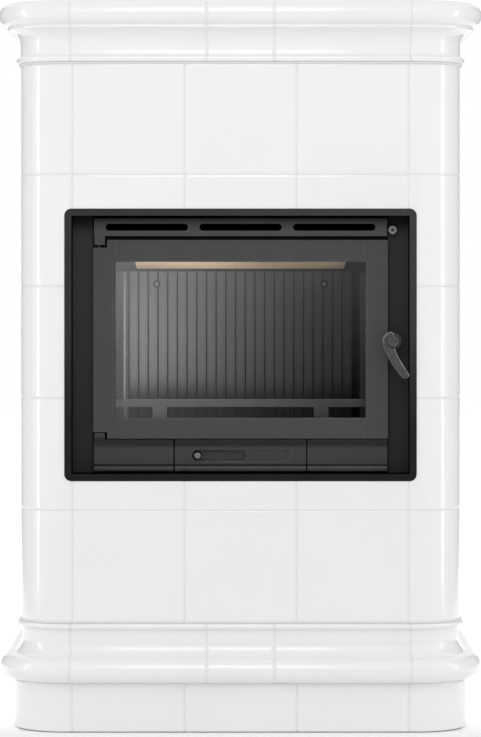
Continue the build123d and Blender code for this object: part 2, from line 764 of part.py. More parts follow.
def build_sill():
    """Fixed castings on both sides of the ash drawer, the left one with the lower hinge lug."""
    outer = DOOR_HALF - SEAM
    inner = DRAWER_WIDTH / 2 + DRAWER_GAP
    depth = PLATE_FRONT - FRONT_PLANE
    right = side_shape(sill_outline(depth), (inner, outer))
    right -= block(
        (inner + CASTING_WALL, outer - CASTING_WALL),
        (FRONT_PLANE + CASTING_WALL, PLATE_FRONT),
        (SILL_Z + CASTING_WALL, SILL_TOP - CASTING_WALL),
    )
    save("sill_panel_right", right)
    left = other_side(right)
    lug_top = SILL_TOP + DOOR_GAP + BOTTOM_LUG_HEIGHT
    lug = block((-outer, HINGE_LUG - outer), (FRONT_PLANE, DOOR_BACK), (SILL_TOP, lug_top))
    lug = fillet(lug.edges().filter_by(Axis.Z), LUG_ROUNDING)
    left += lug
    left -= hinge_bore((SILL_TOP - CASTING_WALL, lug_top))
    save("sill_panel_left", left)


# ---------------------------------------------------------------- door
def door_outline():
    """Front view of the door: rounded corners, an ear for the handle, notches for the lugs."""
    middle = (DOOR_Z + DOOR_TOP) / 2
    outline = Pos(0, middle) * RectangleRounded(DOOR_WIDTH, DOOR_HEIGHT, DOOR_CORNER)
    ear = panel_outline((DOOR_HALF - STILE_WIDTH / 2, HANDLE_X),
                        (HANDLE_Z - EAR_RADIUS, HANDLE_Z + EAR_RADIUS))
    outline += ear
    outline += Pos(HANDLE_X, HANDLE_Z) * Circle(EAR_RADIUS)
    notch = HINGE_LUG + LUG_GAP
    top_notch = GRILLE_Z - HINGE_LUG_HEIGHT - LUG_GAP
    outline -= panel_outline((-DOOR_HALF, notch - DOOR_HALF), (top_notch, DOOR_TOP))
    bottom_notch = DOOR_Z + BOTTOM_LUG_HEIGHT + DOOR_GAP
    outline -= panel_outline((-DOOR_HALF, notch - DOOR_HALF), (DOOR_Z, bottom_notch))
    return outline


def build_door_frame():
    window = panel_outline((-WINDOW_HALF, WINDOW_HALF), (WINDOW_Z, WINDOW_TOP))
    frame = front_shape(door_outline(), (DOOR_PLANE, DOOR_BACK))
    hinge_edges = frame.edges().filter_by(Axis.Z).group_by(Axis.X)[0].group_by(Axis.Y)[-1]
    frame = fillet(hinge_edges, HINGE_EDGE_ROUNDING)
    frame -= front_shape(window, (DOOR_PLANE, DOOR_BACK))
    bevel = loft([
        Plane.XZ.offset(-at_depth(DOOR_PLANE)) * offset(window, WINDOW_BEVEL),
        Plane.XZ.offset(-at_depth(DOOR_PLANE + WINDOW_BEVEL)) * window,
    ])
    frame -= bevel
    step = (DOOR_PLANE, DOOR_PLANE + RAIL_STEP)
    for z_span in ((DOOR_Z, WINDOW_Z), (WINDOW_TOP, DOOR_TOP)):
        frame -= block((-WINDOW_HALF, WINDOW_HALF), step, z_span)
    lap = GLASS_LAP + SEAM
    rebate = panel_outline(
        (-WINDOW_HALF - lap, WINDOW_HALF + lap), (WINDOW_Z - lap, WINDOW_TOP + lap)
    )
    frame -= front_shape(rebate, (DOOR_BACK - GLASS_REBATE, DOOR_BACK))
    bore = HINGE_PIN_RADIUS + RUNNING_CLEARANCE
    lower = DOOR_Z + BOTTOM_LUG_HEIGHT + DOOR_GAP
    upper = GRILLE_Z - HINGE_LUG_HEIGHT - LUG_GAP
    reach = PIN_ENGAGEMENT + SEAM
    frame -= rod_along_z(bore, HINGE_X, HINGE_DEPTH, (lower, lower + reach))
    frame -= rod_along_z(bore, HINGE_X, HINGE_DEPTH, (upper - reach, upper))
    spindle_bore = SPINDLE_RADIUS + RUNNING_CLEARANCE
    frame -= rod_along_y(spindle_bore, HANDLE_X, HANDLE_Z, (DOOR_PLANE, DOOR_BACK))
    save("door_frame", frame)

    top_pin = (upper - PIN_ENGAGEMENT, GRILLE_Z)
    bottom_pin = (SILL_TOP, lower + PIN_ENGAGEMENT)
    save("hinge_pins", [hinge_bore(top_pin), hinge_bore(bottom_pin)])


def build_glazing():
    """Ceramic glass in the door's rear rebate, its clips with screws, and the rope seal."""
    lap = GLASS_LAP
    pane = panel_outline(
        (-WINDOW_HALF - lap, WINDOW_HALF + lap), (WINDOW_Z - lap, WINDOW_TOP + lap)
    )
    glass_front = DOOR_BACK - GLASS_REBATE
    glass_back = glass_front + GLASS_THICKNESS
    save("door_glass", front_shape(pane, (glass_front, glass_back)))

    middle = (WINDOW_Z + WINDOW_TOP) / 2
    edge_z = (WINDOW_TOP - WINDOW_Z) / 2 + lap
    clips = []
    for x in (-WINDOW_HALF / 2, WINDOW_HALF / 2):
        for side in (-1, 1):
            inner = middle + side * (edge_z - lap / 2)
            outer = middle + side * (edge_z + CLIP_REACH)
            z_span = (min(inner, outer), max(inner, outer))
            pad_edge = middle + side * (edge_z - CLIP_THICKNESS)
            pad_span = (min(inner, pad_edge), max(inner, pad_edge))
            clip = block((x - lap, x + lap), (DOOR_BACK, DOOR_BACK + CLIP_THICKNESS), z_span)
            clips.append(clip + block((x - lap, x + lap), (glass_back, DOOR_BACK), pad_span))
    save("glass_clips", clips)

    centre = Pos(0, middle)
    set_out = GASKET_SET + lap
    width = 2 * (WINDOW_HALF + set_out)
    height = WINDOW_TOP - WINDOW_Z + 2 * set_out
    ring = centre * RectangleRounded(width, height, GASKET_WIDTH * 2)
    ring -= centre * RectangleRounded(width - 2 * GASKET_WIDTH, height - 2 * GASKET_WIDTH,
                                      GASKET_WIDTH)
    seal = front_shape(ring, (DOOR_BACK, PLATE_FRONT - SLIDER_CLEARANCE))
    save("door_gasket", seal)


# ---------------------------------------------------------------- handle
def blade_outline():
    """Comma-shaped blade as seen from the front, in shares of its drop below the pivot."""
    def at(across, up):
        return across * BLADE_DROP, up * BLADE_DROP

    tip = at(-0.048, 0.28)
    heel = at(0.418, -0.884)
    toe = at(0.308, -1.0)
    notch = at(0.034, -0.164)
    shoulder = at(0.034, 0.137)
    back = Spline([tip, at(-0.226, 0.2), at(-0.305, 0.027), at(-0.186, -0.315),
                   at(-0.011, -0.644), toe])
    end = ThreePointArc(toe, at(0.404, -0.986), heel)
    front = Spline([heel, at(0.233, -0.603), at(0.096, -0.377), notch])
    root = Polyline(notch, shoulder, tip)
    return make_face([back.edge(), end.edge(), front.edge(), *root.edges()])


def build_handle():
    """Blade, hub, spindle and the latch tongue behind the door's ear."""
    blade_back = BLADE_FRONT + BLADE_THICKNESS
    pivot = Pos(HANDLE_X, HANDLE_Z)
    blade = front_shape(blade_outline(), (BLADE_FRONT, blade_back))
    rounded = blade.faces().sort_by(Axis.Y)[0].edges()
    blade = Pos(HANDLE_X, 0, HANDLE_Z) * fillet(rounded, BLADE_ROUNDING)
    collar_back = DOOR_PLANE - SLIDER_CLEARANCE
    collar = rod_along_y(SPINDLE_COLLAR, HANDLE_X, HANDLE_Z, (BLADE_FRONT, collar_back))
    bore = rod_along_y(SPINDLE_RADIUS, HANDLE_X, HANDLE_Z, (BLADE_FRONT, DOOR_PLANE))
    save("handle", blade + collar - bore)

    hub = rod_along_y(HUB_RADIUS, HANDLE_X, HANDLE_Z, (HUB_FRONT, BLADE_FRONT))
    hub = chamfer(hub.faces().sort_by(Axis.Y)[0].edges(), HUB_CHAMFER)
    tongue_front = DOOR_BACK + SLIDER_CLEARANCE
    tongue_back = tongue_front + TONGUE_THICKNESS
    shank = rod_along_y(SPINDLE_RADIUS, HANDLE_X, HANDLE_Z, (BLADE_FRONT, tongue_back))
    save("handle_spindle", hub + shank)
    arm = Pos(0, -TONGUE_LENGTH / 2) * Rectangle(TONGUE_WIDTH, TONGUE_LENGTH)
    arm += Circle(SPINDLE_COLLAR)
    arm += Pos(0, -TONGUE_LENGTH) * Circle(TONGUE_WIDTH / 2)
    arm -= Circle(SPINDLE_RADIUS)
    tongue = front_shape(pivot * Rot(0, 0, TONGUE_LEAN) * arm, (tongue_front, tongue_back))
    save("latch_tongue", tongue)

    reach = HANDLE_X - TONGUE_WIDTH / 2 + TONGUE_LENGTH * sin(radians(TONGUE_LEAN)) - SEAM
    z1 = HANDLE_Z - TONGUE_LENGTH + TONGUE_WIDTH / 2
    keeper = block((reach - KEEPER_WIDTH, reach), (DOOR_PLANE + SEAM, RECESS_DEPTH),
                   (z1 - KEEPER_HEIGHT, z1))
    keeper -= block((reach - KEEPER_WIDTH / 2, reach),
                    (DOOR_PLANE + SEAM + KEEPER_LIP, RECESS_DEPTH - SEAM),
                    (z1 - KEEPER_HEIGHT, z1))
    save("latch_keeper", keeper)


# ---------------------------------------------------------------- ash drawer
def air_slot_centre():
    return SILL_Z + AIR_SLOT_SET


def build_ash_drawer():
    """Cast front with the dished air slot, and the sheet pan behind it."""
    half = DRAWER_WIDTH / 2
    z = air_slot_centre()
    front = side_shape(sill_outline(DRAWER_FRONT_THICKNESS), (-half, half))
    front_back = FRONT_PLANE + DRAWER_FRONT_THICKNESS
    dish = Pos(0, z) * SlotOverall(AIR_SLOT_LENGTH, AIR_SLOT_WIDTH)
    front -= front_shape(dish, (FRONT_PLANE, FRONT_PLANE + AIR_SLOT_DISH))
    open_x = (AIR_OPEN_LENGTH - AIR_SLOT_LENGTH) / 2 + SEAM
    slot = Pos(open_x, z) * SlotOverall(AIR_OPEN_LENGTH, AIR_SLOT_WIDTH - 2 * SEAM)
    front -= front_shape(slot, (FRONT_PLANE, front_back))
    pan_front = front_back + PAN_STANDOFF
    post_x = PAN_WIDTH / 2 - PAN_STANDOFF
    post = block((post_x - PAN_STANDOFF, post_x), (front_back, pan_front),
                 (SILL_Z + PAN_FLOOR_GAP + PAN_STANDOFF, SILL_TOP - 2 * PAN_STANDOFF))
    save("ash_drawer_front", front + post + other_side(post))

    floor_z = INSERT_Z + WALL_THICKNESS + PAN_FLOOR_GAP
    pan_top = SILL_TOP - PAN_TOP_GAP
    outer = block((-PAN_WIDTH / 2, PAN_WIDTH / 2), (pan_front, pan_front + PAN_LENGTH),
                  (floor_z, pan_top))
    inner = block((PAN_WALL - PAN_WIDTH / 2, PAN_WIDTH / 2 - PAN_WALL),
                  (pan_front + PAN_WALL, pan_front + PAN_LENGTH - PAN_WALL),
                  (floor_z + PAN_WALL, pan_top))
    save("ash_pan", outer - inner)

    rail_z = (INSERT_Z + WALL_THICKNESS, floor_z - SLIDER_CLEARANCE)
    rail = block((PAN_WIDTH / 2 - 2 * PAN_FLOOR_GAP, PAN_WIDTH / 2 + PAN_FLOOR_GAP),
                 (PLATE_BACK, pan_front + PAN_LENGTH), rail_z)
    wall = block((PAN_WIDTH / 2 + PAN_FLOOR_GAP - PAN_WALL, PAN_WIDTH / 2 + PAN_FLOOR_GAP),
                 (PLATE_BACK, pan_front + PAN_LENGTH), (rail_z[1], SILL_TOP - SEAM))
    save("drawer_runners", both_sides([rail + wall]))


def build_air_slider():
    """Sliding plate behind the drawer front, its knob, and the guides that hold it."""
    z = air_slot_centre()
    front_back = FRONT_PLANE + DRAWER_FRONT_THICKNESS
    plate_front = front_back + SLIDER_CLEARANCE
    plate_back = plate_front + SLIDER_THICKNESS
    x0 = -AIR_SLOT_LENGTH / 2 - SLIDER_LAP
    x1 = AIR_OPEN_LENGTH - AIR_SLOT_LENGTH / 2 + SLIDER_LAP
    height = AIR_SLOT_WIDTH / 2 + SLIDER_LAP
    plate = block((x0, x1), (plate_front, plate_back), (z - height, z + height))
    save("air_slider", plate)

    knob_x = (AIR_SLOT_WIDTH - AIR_SLOT_LENGTH) / 2
    stem_front = AIR_KNOB_FRONT + AIR_KNOB_RADIUS
    knob = rod_along_y(AIR_KNOB_RADIUS, knob_x, z, (AIR_KNOB_FRONT, stem_front))
    knob = chamfer(knob.faces().sort_by(Axis.Y)[0].edges(), AIR_KNOB_CHAMFER)
    knob += rod_along_y(AIR_STEM_RADIUS, knob_x, z, (stem_front, plate_front))
    save("air_knob", knob)

    guide_back = plate_back + SLIDER_CLEARANCE
    x_end = PAN_WIDTH / 2 - 2 * PAN_STANDOFF - SEAM
    edge = z + height + SLIDER_CLEARANCE
    guide = block((-x_end, x_end), (front_back, guide_back), (edge, edge + PAN_STANDOFF))
    lip = block((-x_end, x_end), (guide_back, guide_back + SEAM),
                (edge - SLIDER_LAP / 2, edge + PAN_STANDOFF))
    upper = guide + lip
    lower = Pos(0, 0, 2 * z) * mirror(upper, about=Plane.XY)
    save("slider_guides", [upper, lower])


# ---------------------------------------------------------------- firebox
def tie_rod_places():
    """Middles (x, y) of the four tie rods outside the firebox."""
    x = WALL_OUTER + TIE_NUT_RADIUS
    depths = (PLATE_BACK + TIE_ROD_INSET, INSERT_BACK - TIE_ROD_INSET)
    return [(side * x, at_depth(depth)) for side in (-1, 1) for depth in depths]


def plate_half():
    """Half the width of the firebox's base and roof, which reach past its walls."""
    return WALL_OUTER + 2 * TIE_NUT_RADIUS


def tied_plate(z_span):
    """Base or roof of the firebox, with the holes of the tie rods."""
    plate = block((-plate_half(), plate_half()), (PLATE_BACK, INSERT_BACK), z_span)
    z0, z1 = z_span
    for x, y in tie_rod_places():
        plate -= Pos(x, y, z0) * extrude(Circle(TIE_ROD_RADIUS), amount=z1 - z0)
    return plate


def build_firebox_walls():
    depth_span = (PLATE_BACK, INSERT_BACK)
    floor_z = INSERT_Z + WALL_THICKNESS
    side = block((WALL_INNER, WALL_OUTER), depth_span, (floor_z, CEILING))
    save("firebox_sides", both_sides([side]))
    save("firebox_back", block((-WALL_INNER, WALL_INNER), (BACK_WALL_DEPTH, INSERT_BACK),
                               (floor_z, CEILING)))
    roof = tied_plate((CEILING, CHAMBER_ROOF))
    roof -= rod_along_z(FLUE_RADIUS, 0, FLUE_DEPTH, (CEILING, CHAMBER_ROOF))
    save("firebox_top", roof)
    save("base_plate", tied_plate((INSERT_Z, floor_z)))


def grate_centre():
    return (LINER_FRONT + BACK_LINER_DEPTH) / 2


def build_hearth():
    """Hearth plate with a stepped hole, and the cast grate that lies in it."""
    middle = at_depth(grate_centre())
    z0 = HEARTH_HEIGHT - HEARTH_THICKNESS
    ledge_z = HEARTH_HEIGHT - HEARTH_THICKNESS / 2
    hearth = block((-WALL_INNER, WALL_INNER), (PLATE_BACK, BACK_WALL_DEPTH),
                   (z0, HEARTH_HEIGHT))
    way = Rectangle(GRATE_WIDTH - 2 * GRATE_LEDGE, GRATE_LENGTH - 2 * GRATE_LEDGE)
    seat = Rectangle(GRATE_WIDTH, GRATE_LENGTH)
    hearth -= Pos(0, middle, z0) * extrude(way, amount=HEARTH_THICKNESS)
    hearth -= Pos(0, middle, ledge_z) * extrude(seat, amount=HEARTH_THICKNESS / 2)
    save("hearth_plate", hearth)

    plate = Rectangle(GRATE_WIDTH - 2 * GRATE_CLEARANCE, GRATE_LENGTH - 2 * GRATE_CLEARANCE)
    pitch = (GRATE_WIDTH - 4 * GRATE_LEDGE) / GRATE_BARS
    length = GRATE_LENGTH - 4 * GRATE_LEDGE
    plate -= row_of(SlotOverall(length, GRATE_SLOT, rotation=90), GRATE_BARS, pitch)
    grate = Pos(0, middle, ledge_z) * extrude(plate, amount=HEARTH_THICKNESS / 2)
    save("grate", grate)


def flutes(run_length, pitch):
    """Row of V-shaped grooves along a run centred on the origin, as a plan outline."""
    count = int(run_length / pitch)
    corners = [(-FLUTE_WIDTH / 2, 0), (FLUTE_WIDTH / 2, 0), (0, FLUTE_DEPTH)]
    groove = make_face(Polyline(*corners, close=True))
    return row_of(groove, count, pitch)


def build_liners():
    """Fluted cast plates that line the chamber, with the two bolts of the rear one."""
    height = LINER_TOP - HEARTH_HEIGHT
    seat = Pos(0, 0, HEARTH_HEIGHT)
    half = CHAMBER_HALF - SLIDER_CLEARANCE
    plan = panel_outline((-half, half), (0, BACK_LINER_THICKNESS))
    plan -= flutes(2 * half - FLUTE_PITCH, FLUTE_PITCH)
    back = Pos(0, at_depth(BACK_LINER_DEPTH), 0) * seat * extrude(plan, amount=height)
    save("back_liner", back)

    run = BACK_LINER_REAR - LINER_FRONT
    plan = panel_outline((-run / 2, run / 2), (0, LINER_THICKNESS))
    plan -= flutes(run - SIDE_FLUTE_PITCH, SIDE_FLUTE_PITCH)
    middle = at_depth(LINER_FRONT + run / 2)
    side = Pos(CHAMBER_HALF, middle, 0) * seat * Rot(0, 0, -90) * extrude(plan, amount=height)
    save("side_liners", both_sides([side]))

    z = LINER_TOP - LINER_BOLT_DROP
    heads = []
    bolt_x = CHAMBER_HALF - LINER_BOLT_INSET
    for x in (-bolt_x, bolt_x):
        head = Pos(x, z) * RegularPolygon(LINER_BOLT_RADIUS, 6)
        heads.append(front_shape(head, (BACK_LINER_DEPTH - LINER_GAP, BACK_LINER_DEPTH)))
    save("liner_bolts", heads)


def tilted(piece):
    """Leans a level piece about the upper front edge of the back liner."""
    pivot = Pos(0, at_depth(BACK_LINER_DEPTH), LINER_TOP + SEAM)
    return pivot * Rot(-BAFFLE_SLOPE, 0, 0) * piece


def build_baffle():
    """Baffle plate that rises to the front, on two rails fixed to the walls."""
    lift = BAFFLE_RAIL_THICKNESS + SLIDER_CLEARANCE
    plate = Pos(0, -BAFFLE_LENGTH / 2, lift + BAFFLE_THICKNESS / 2) * Box(
        2 * BAFFLE_HALF, BAFFLE_LENGTH, BAFFLE_THICKNESS
    )
    save("baffle_plate", tilted(plate))
    rail_start = BAFFLE_HALF - BAFFLE_LAP
    rail_x = (WALL_INNER + rail_start) / 2
    rail = Pos(rail_x, -BAFFLE_LENGTH / 2, BAFFLE_RAIL_THICKNESS / 2) * Box(
        WALL_INNER - rail_start, BAFFLE_LENGTH, BAFFLE_RAIL_THICKNESS
    )
    save("baffle_rails", both_sides([tilted(rail)]))


def build_log_guard():
    half = MOUTH_HALF - SEAM
    outline = panel_outline((-half, half), (GUARD_TOP - GUARD_RAIL, GUARD_TOP))
    for x in (-GUARD_POST_SPACING / 2, GUARD_POST_SPACING / 2):
        outline += panel_outline((x - GUARD_POST / 2, x + GUARD_POST / 2),
                                 (HEARTH_HEIGHT, GUARD_TOP - GUARD_RAIL))
    outline += panel_outline((-half, half), (HEARTH_HEIGHT, HEARTH_HEIGHT + LINER_GAP))
    save("log_guard", front_shape(outline, (PLATE_BACK, PLATE_BACK + GUARD_THICKNESS)))


def build_tie_rods():
    """Rods that clamp the firebox between its base and its roof, with nuts on both ends."""
    low = INSERT_Z - TIE_NUT_HEIGHT
    length = CHAMBER_ROOF + TIE_NUT_HEIGHT - low
    hexagon = RegularPolygon(TIE_NUT_RADIUS, 6) - Circle(TIE_ROD_RADIUS)
    nut = extrude(hexagon, amount=TIE_NUT_HEIGHT)
    pieces = []
    for x, y in tie_rod_places():
        pieces.append(Pos(x, y, low) * extrude(Circle(TIE_ROD_RADIUS), amount=length))
        pieces.append(Pos(x, y, low) * nut)
        pieces.append(Pos(x, y, CHAMBER_ROOF) * nut)
    save("tie_rods", pieces)


# ---------------------------------------------------------------- flue and damper
def socket_radius():
    """Bore of the upper end of the pipe, which takes a chimney pipe of the flue's size."""
    return FLUE_RADIUS + SOCKET_CLEARANCE


def build_flue():
    collar_top = CHAMBER_ROOF + COLLAR_HEIGHT
    outer = FLUE_RADIUS + COLLAR_WALL
    collar = rod_along_z(outer, 0, FLUE_DEPTH, (CHAMBER_ROOF, collar_top))
    collar += rod_along_z(outer + COLLAR_FLANGE, 0, FLUE_DEPTH,
                          (CHAMBER_ROOF, CHAMBER_ROOF + COLLAR_WALL))
    collar -= rod_along_z(FLUE_RADIUS, 0, FLUE_DEPTH, (CHAMBER_ROOF, collar_top))
    bore = DAMPER_SPINDLE_RADIUS + RUNNING_CLEARANCE
    collar -= rod_along_x(bore, FLUE_DEPTH, DAMPER_SPINDLE_Z, (-outer, outer))
    save("flue_collar", collar)

    pipe_bore = FLUE_RADIUS - FLUE_WALL
    socket = (TOP_Z - SOCKET_LENGTH, TOP_Z)
    pipe = rod_along_z(socket_radius() + FLUE_WALL, 0, FLUE_DEPTH, (collar_top, TOP_Z))
    pipe -= rod_along_z(pipe_bore, 0, FLUE_DEPTH, (collar_top, TOP_Z))
    pipe -= rod_along_z(socket_radius(), 0, FLUE_DEPTH, socket)
    save("flue_pipe", pipe)


def build_damper():
    """Flap on its long spindle with a crank, moved by the pull rod's slotted yoke."""
    z = DAMPER_SPINDLE_Z
    flap_radius = FLUE_RADIUS - FLAP_CLEARANCE
    half = FLAP_THICKNESS / 2
    flap = rod_along_y(flap_radius, 0, z, (FLUE_DEPTH - half, FLUE_DEPTH + half))
    hub_half = flap_radius - DAMPER_SPINDLE_RADIUS
    hub_radius = DAMPER_SPINDLE_RADIUS + FLAP_THICKNESS
    flap += rod_along_x(hub_radius, FLUE_DEPTH, z, (-hub_half, hub_half))
    spindle_end = DAMPER_ROD_X - YOKE_THICKNESS - SEAM
    start = -FLUE_RADIUS - COLLAR_WALL
    spindle = rod_along_x(DAMPER_SPINDLE_RADIUS, FLUE_DEPTH, z, (start, spindle_end))
    save("damper_flap", flap - spindle)

    swing = DAMPER_PIN_SWING
    pin_depth = FLUE_DEPTH + swing
    pin_z = z - swing
    arm = Pos(0, -CRANK_RADIUS / 2) * Rectangle(CRANK_WIDTH, CRANK_RADIUS)
    arm += Circle(CRANK_WIDTH / 2 + SEAM) + Pos(0, -CRANK_RADIUS) * Circle(CRANK_WIDTH / 2)
    arm = Pos(FLUE_DEPTH, z) * Rot(0, 0, 45) * arm
    crank = side_shape(arm, (spindle_end - CRANK_THICKNESS, spindle_end))
    pin = rod_along_x(CRANK_PIN_RADIUS, pin_depth, pin_z,
                      (spindle_end, DAMPER_ROD_X + YOKE_THICKNESS))
    save("damper_spindle", spindle + crank + pin)

    slot_half = CRANK_PIN_RADIUS + YOKE_PLAY
    rise = (CRANK_RADIUS - swing) / 2 + slot_half
    slot = Pos(pin_depth, DAMPER_ROD_Z) * SlotOverall(2 * rise + YOKE_PLAY, 2 * slot_half,
                                                      rotation=90)
    yoke = Pos(pin_depth, DAMPER_ROD_Z) * Rectangle(
        2 * (slot_half + YOKE_WALL), 2 * (rise + YOKE_WALL)
    )
    half = YOKE_THICKNESS / 2
    yoke = side_shape(yoke - slot, (DAMPER_ROD_X - half, DAMPER_ROD_X + half))
    knob_back = RECESS_DEPTH - DAMPER_KNOB_GAP
    knob_front = knob_back - DAMPER_KNOB_LENGTH
    rod_end = pin_depth - slot_half - YOKE_WALL / 2
    rod = rod_along_y(DAMPER_ROD_RADIUS, DAMPER_ROD_X, DAMPER_ROD_Z, (knob_back, rod_end))
    save("damper_rod", rod + yoke)
    knob = rod_along_y(DAMPER_KNOB_RADIUS, DAMPER_ROD_X, DAMPER_ROD_Z, (knob_front, knob_back))
    knob = chamfer(knob.faces().sort_by(Axis.Y)[0].edges(), DAMPER_KNOB_CHAMFER)
    save("damper_knob", knob)

    guide_depth = (PLATE_BACK + pin_depth) / 2
    reach = DAMPER_ROD_X + DAMPER_ROD_RADIUS + YOKE_WALL
    plate_span = (guide_depth, guide_depth + GUIDE_SHEET)
    foot = block((WALL_OUTER, plate_half()), (guide_depth, guide_depth + GUIDE_FOOT),
                 (CHAMBER_ROOF, CHAMBER_ROOF + GUIDE_SHEET))
    upright = block((WALL_OUTER, reach), plate_span, (CHAMBER_ROOF, DAMPER_ROD_Z + GUIDE_EYE))
    eye = block((plate_half() + SEAM, reach), plate_span,
                (DAMPER_ROD_Z - GUIDE_EYE, CHAMBER_ROOF))
    bracket = foot + upright + eye
    bracket -= rod_along_y(DAMPER_ROD_RADIUS + RUNNING_CLEARANCE, DAMPER_ROD_X, DAMPER_ROD_Z,
                           plate_span)
    save("damper_rod_guide", bracket)


# ---------------------------------------------------------------- stand
def build_stand():
    """Angle-iron legs under the insert, their ties and levelling feet."""
    outer = WALL_OUTER - LEG_INSET
    near = PLATE_BACK + LEG_INSET
    far = INSERT_BACK - LEG_INSET
    legs = []
    feet = []
    for start, side in ((near, 1), (far, -1)):
        ends = (start, start + side * LEG_SIZE)
        inner = (start + side * LEG_WALL, start + side * LEG_SIZE)
        leg = block((outer - LEG_SIZE, outer), (min(ends), max(ends)), (FOOT_HEIGHT, INSERT_Z))
        leg -= block((outer - LEG_SIZE, outer - LEG_WALL), (min(inner), max(inner)),
                     (FOOT_HEIGHT + LEG_WALL, INSERT_Z))
        middle = (ends[0] + ends[1]) / 2
        x = outer - LEG_SIZE / 2
        foot = rod_along_z(FOOT_RADIUS, x, middle, (0, FOOT_HEIGHT))
        legs.append(leg)
        feet.append(foot)
    save("stand_feet", both_sides(feet))

    z_span = (STAND_TIE_HEIGHT, STAND_TIE_HEIGHT + STAND_TIE_DEPTH)
    front_tie = block((-outer, outer), (near - LEG_WALL, near), z_span)
    back_tie = block((-outer, outer), (far, far + LEG_WALL), z_span)
    side_tie = block((outer, outer + LEG_WALL), (near, far), z_span)
    save("insert_stand", both_sides(legs + [side_tie]) + [front_tie, back_tie])


def build_all():
    os.makedirs("parts", exist_ok=True)
    build_plinth()
    build_moulding("base_moulding", base_section(), (BASE_Z + HALF_JOINT, FIELD_Z - HALF_JOINT))
    build_tile_field()
    build_moulding("cornice", cornice_section(), (CORNICE_Z + HALF_JOINT, TOP_Z - COVER_THICKNESS))
    build_grout()
    build_covers()
    build_surround()
    build_front_plate()
    build_air_grille()
    build_sill()
    build_door_frame()
    build_glazing()
    build_handle()
    build_ash_drawer()
    build_air_slider()
    build_firebox_walls()
    build_hearth()
    build_liners()
    build_baffle()
    build_log_guard()
    build_tie_rods()
    build_flue()
    build_damper()
    build_stand()


build_all()
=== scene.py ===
# %% [markdown]
# # A tiled stove, dressed for the camera
#
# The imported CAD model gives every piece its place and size. This file gives the pieces their
# looks: soft glazed edges on the tiles, rounded edges and a sand-cast skin on the iron, flutes
# in the liners, glass, and a plain studio round them. All lengths are in metres, the front of
# the stove faces -Y, and the origin is on the floor under the middle of the stove.

import json
import math
from contextlib import contextmanager

import bmesh
import bpy
import numpy as np
from mathutils import Matrix, Vector


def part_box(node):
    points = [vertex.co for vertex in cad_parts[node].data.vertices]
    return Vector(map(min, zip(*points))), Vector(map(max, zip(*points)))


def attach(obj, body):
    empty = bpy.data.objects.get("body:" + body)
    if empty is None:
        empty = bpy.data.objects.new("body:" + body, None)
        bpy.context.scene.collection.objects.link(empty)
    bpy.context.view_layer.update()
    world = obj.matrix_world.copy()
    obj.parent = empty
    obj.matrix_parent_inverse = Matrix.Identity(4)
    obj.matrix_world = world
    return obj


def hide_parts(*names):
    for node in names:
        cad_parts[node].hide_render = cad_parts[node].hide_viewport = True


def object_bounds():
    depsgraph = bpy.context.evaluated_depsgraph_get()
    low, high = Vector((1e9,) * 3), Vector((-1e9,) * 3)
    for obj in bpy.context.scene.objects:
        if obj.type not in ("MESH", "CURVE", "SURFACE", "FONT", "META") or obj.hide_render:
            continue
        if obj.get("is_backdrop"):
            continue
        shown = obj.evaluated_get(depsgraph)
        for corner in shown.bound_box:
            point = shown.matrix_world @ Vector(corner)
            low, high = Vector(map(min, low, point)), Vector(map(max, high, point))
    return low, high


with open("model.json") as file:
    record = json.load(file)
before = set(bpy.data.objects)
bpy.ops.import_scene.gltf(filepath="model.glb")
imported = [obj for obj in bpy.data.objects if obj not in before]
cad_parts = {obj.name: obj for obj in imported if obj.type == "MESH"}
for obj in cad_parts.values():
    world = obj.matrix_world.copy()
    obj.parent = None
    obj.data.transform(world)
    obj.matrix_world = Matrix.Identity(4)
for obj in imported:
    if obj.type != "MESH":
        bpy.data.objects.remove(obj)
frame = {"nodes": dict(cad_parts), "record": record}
cad_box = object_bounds()
MM = 0.001
body_of_node = {n: b for b, ns in frame["record"]["behaviour"]["bodies"].items() for n in ns}
slot_of_node = {row["node"]: row["material_slot"] for row in frame["record"]["subparts"]}

# %% [markdown]
# ## Writing node trees as Python
#
# Both the materials and the patterned meshes are node trees. A small wrapper keeps them
# readable: an output socket answers to +, -, * and /, and each operator adds one Math node.
# Every other node comes from one method that takes its type, its settings and its inputs.


# %% Node tree helpers
def operator(operation, swapped=False):
    """A method that adds one Math node."""
    def apply(self, other):
        terms = (other, self) if swapped else (self, other)
        return self.net.maths(operation, *terms)
    return apply


class Value:
    """An output socket that can be used in a Python expression."""

    def __init__(self, net, socket):
        self.net = net
        self.socket = socket

    __add__ = __radd__ = operator("ADD")
    __sub__ = operator("SUBTRACT")
    __rsub__ = operator("SUBTRACT", swapped=True)
    __mul__ = __rmul__ = operator("MULTIPLY")
    __truediv__ = operator("DIVIDE")
    __pow__ = operator("POWER")
    __gt__ = operator("GREATER_THAN")
    __lt__ = operator("LESS_THAN")


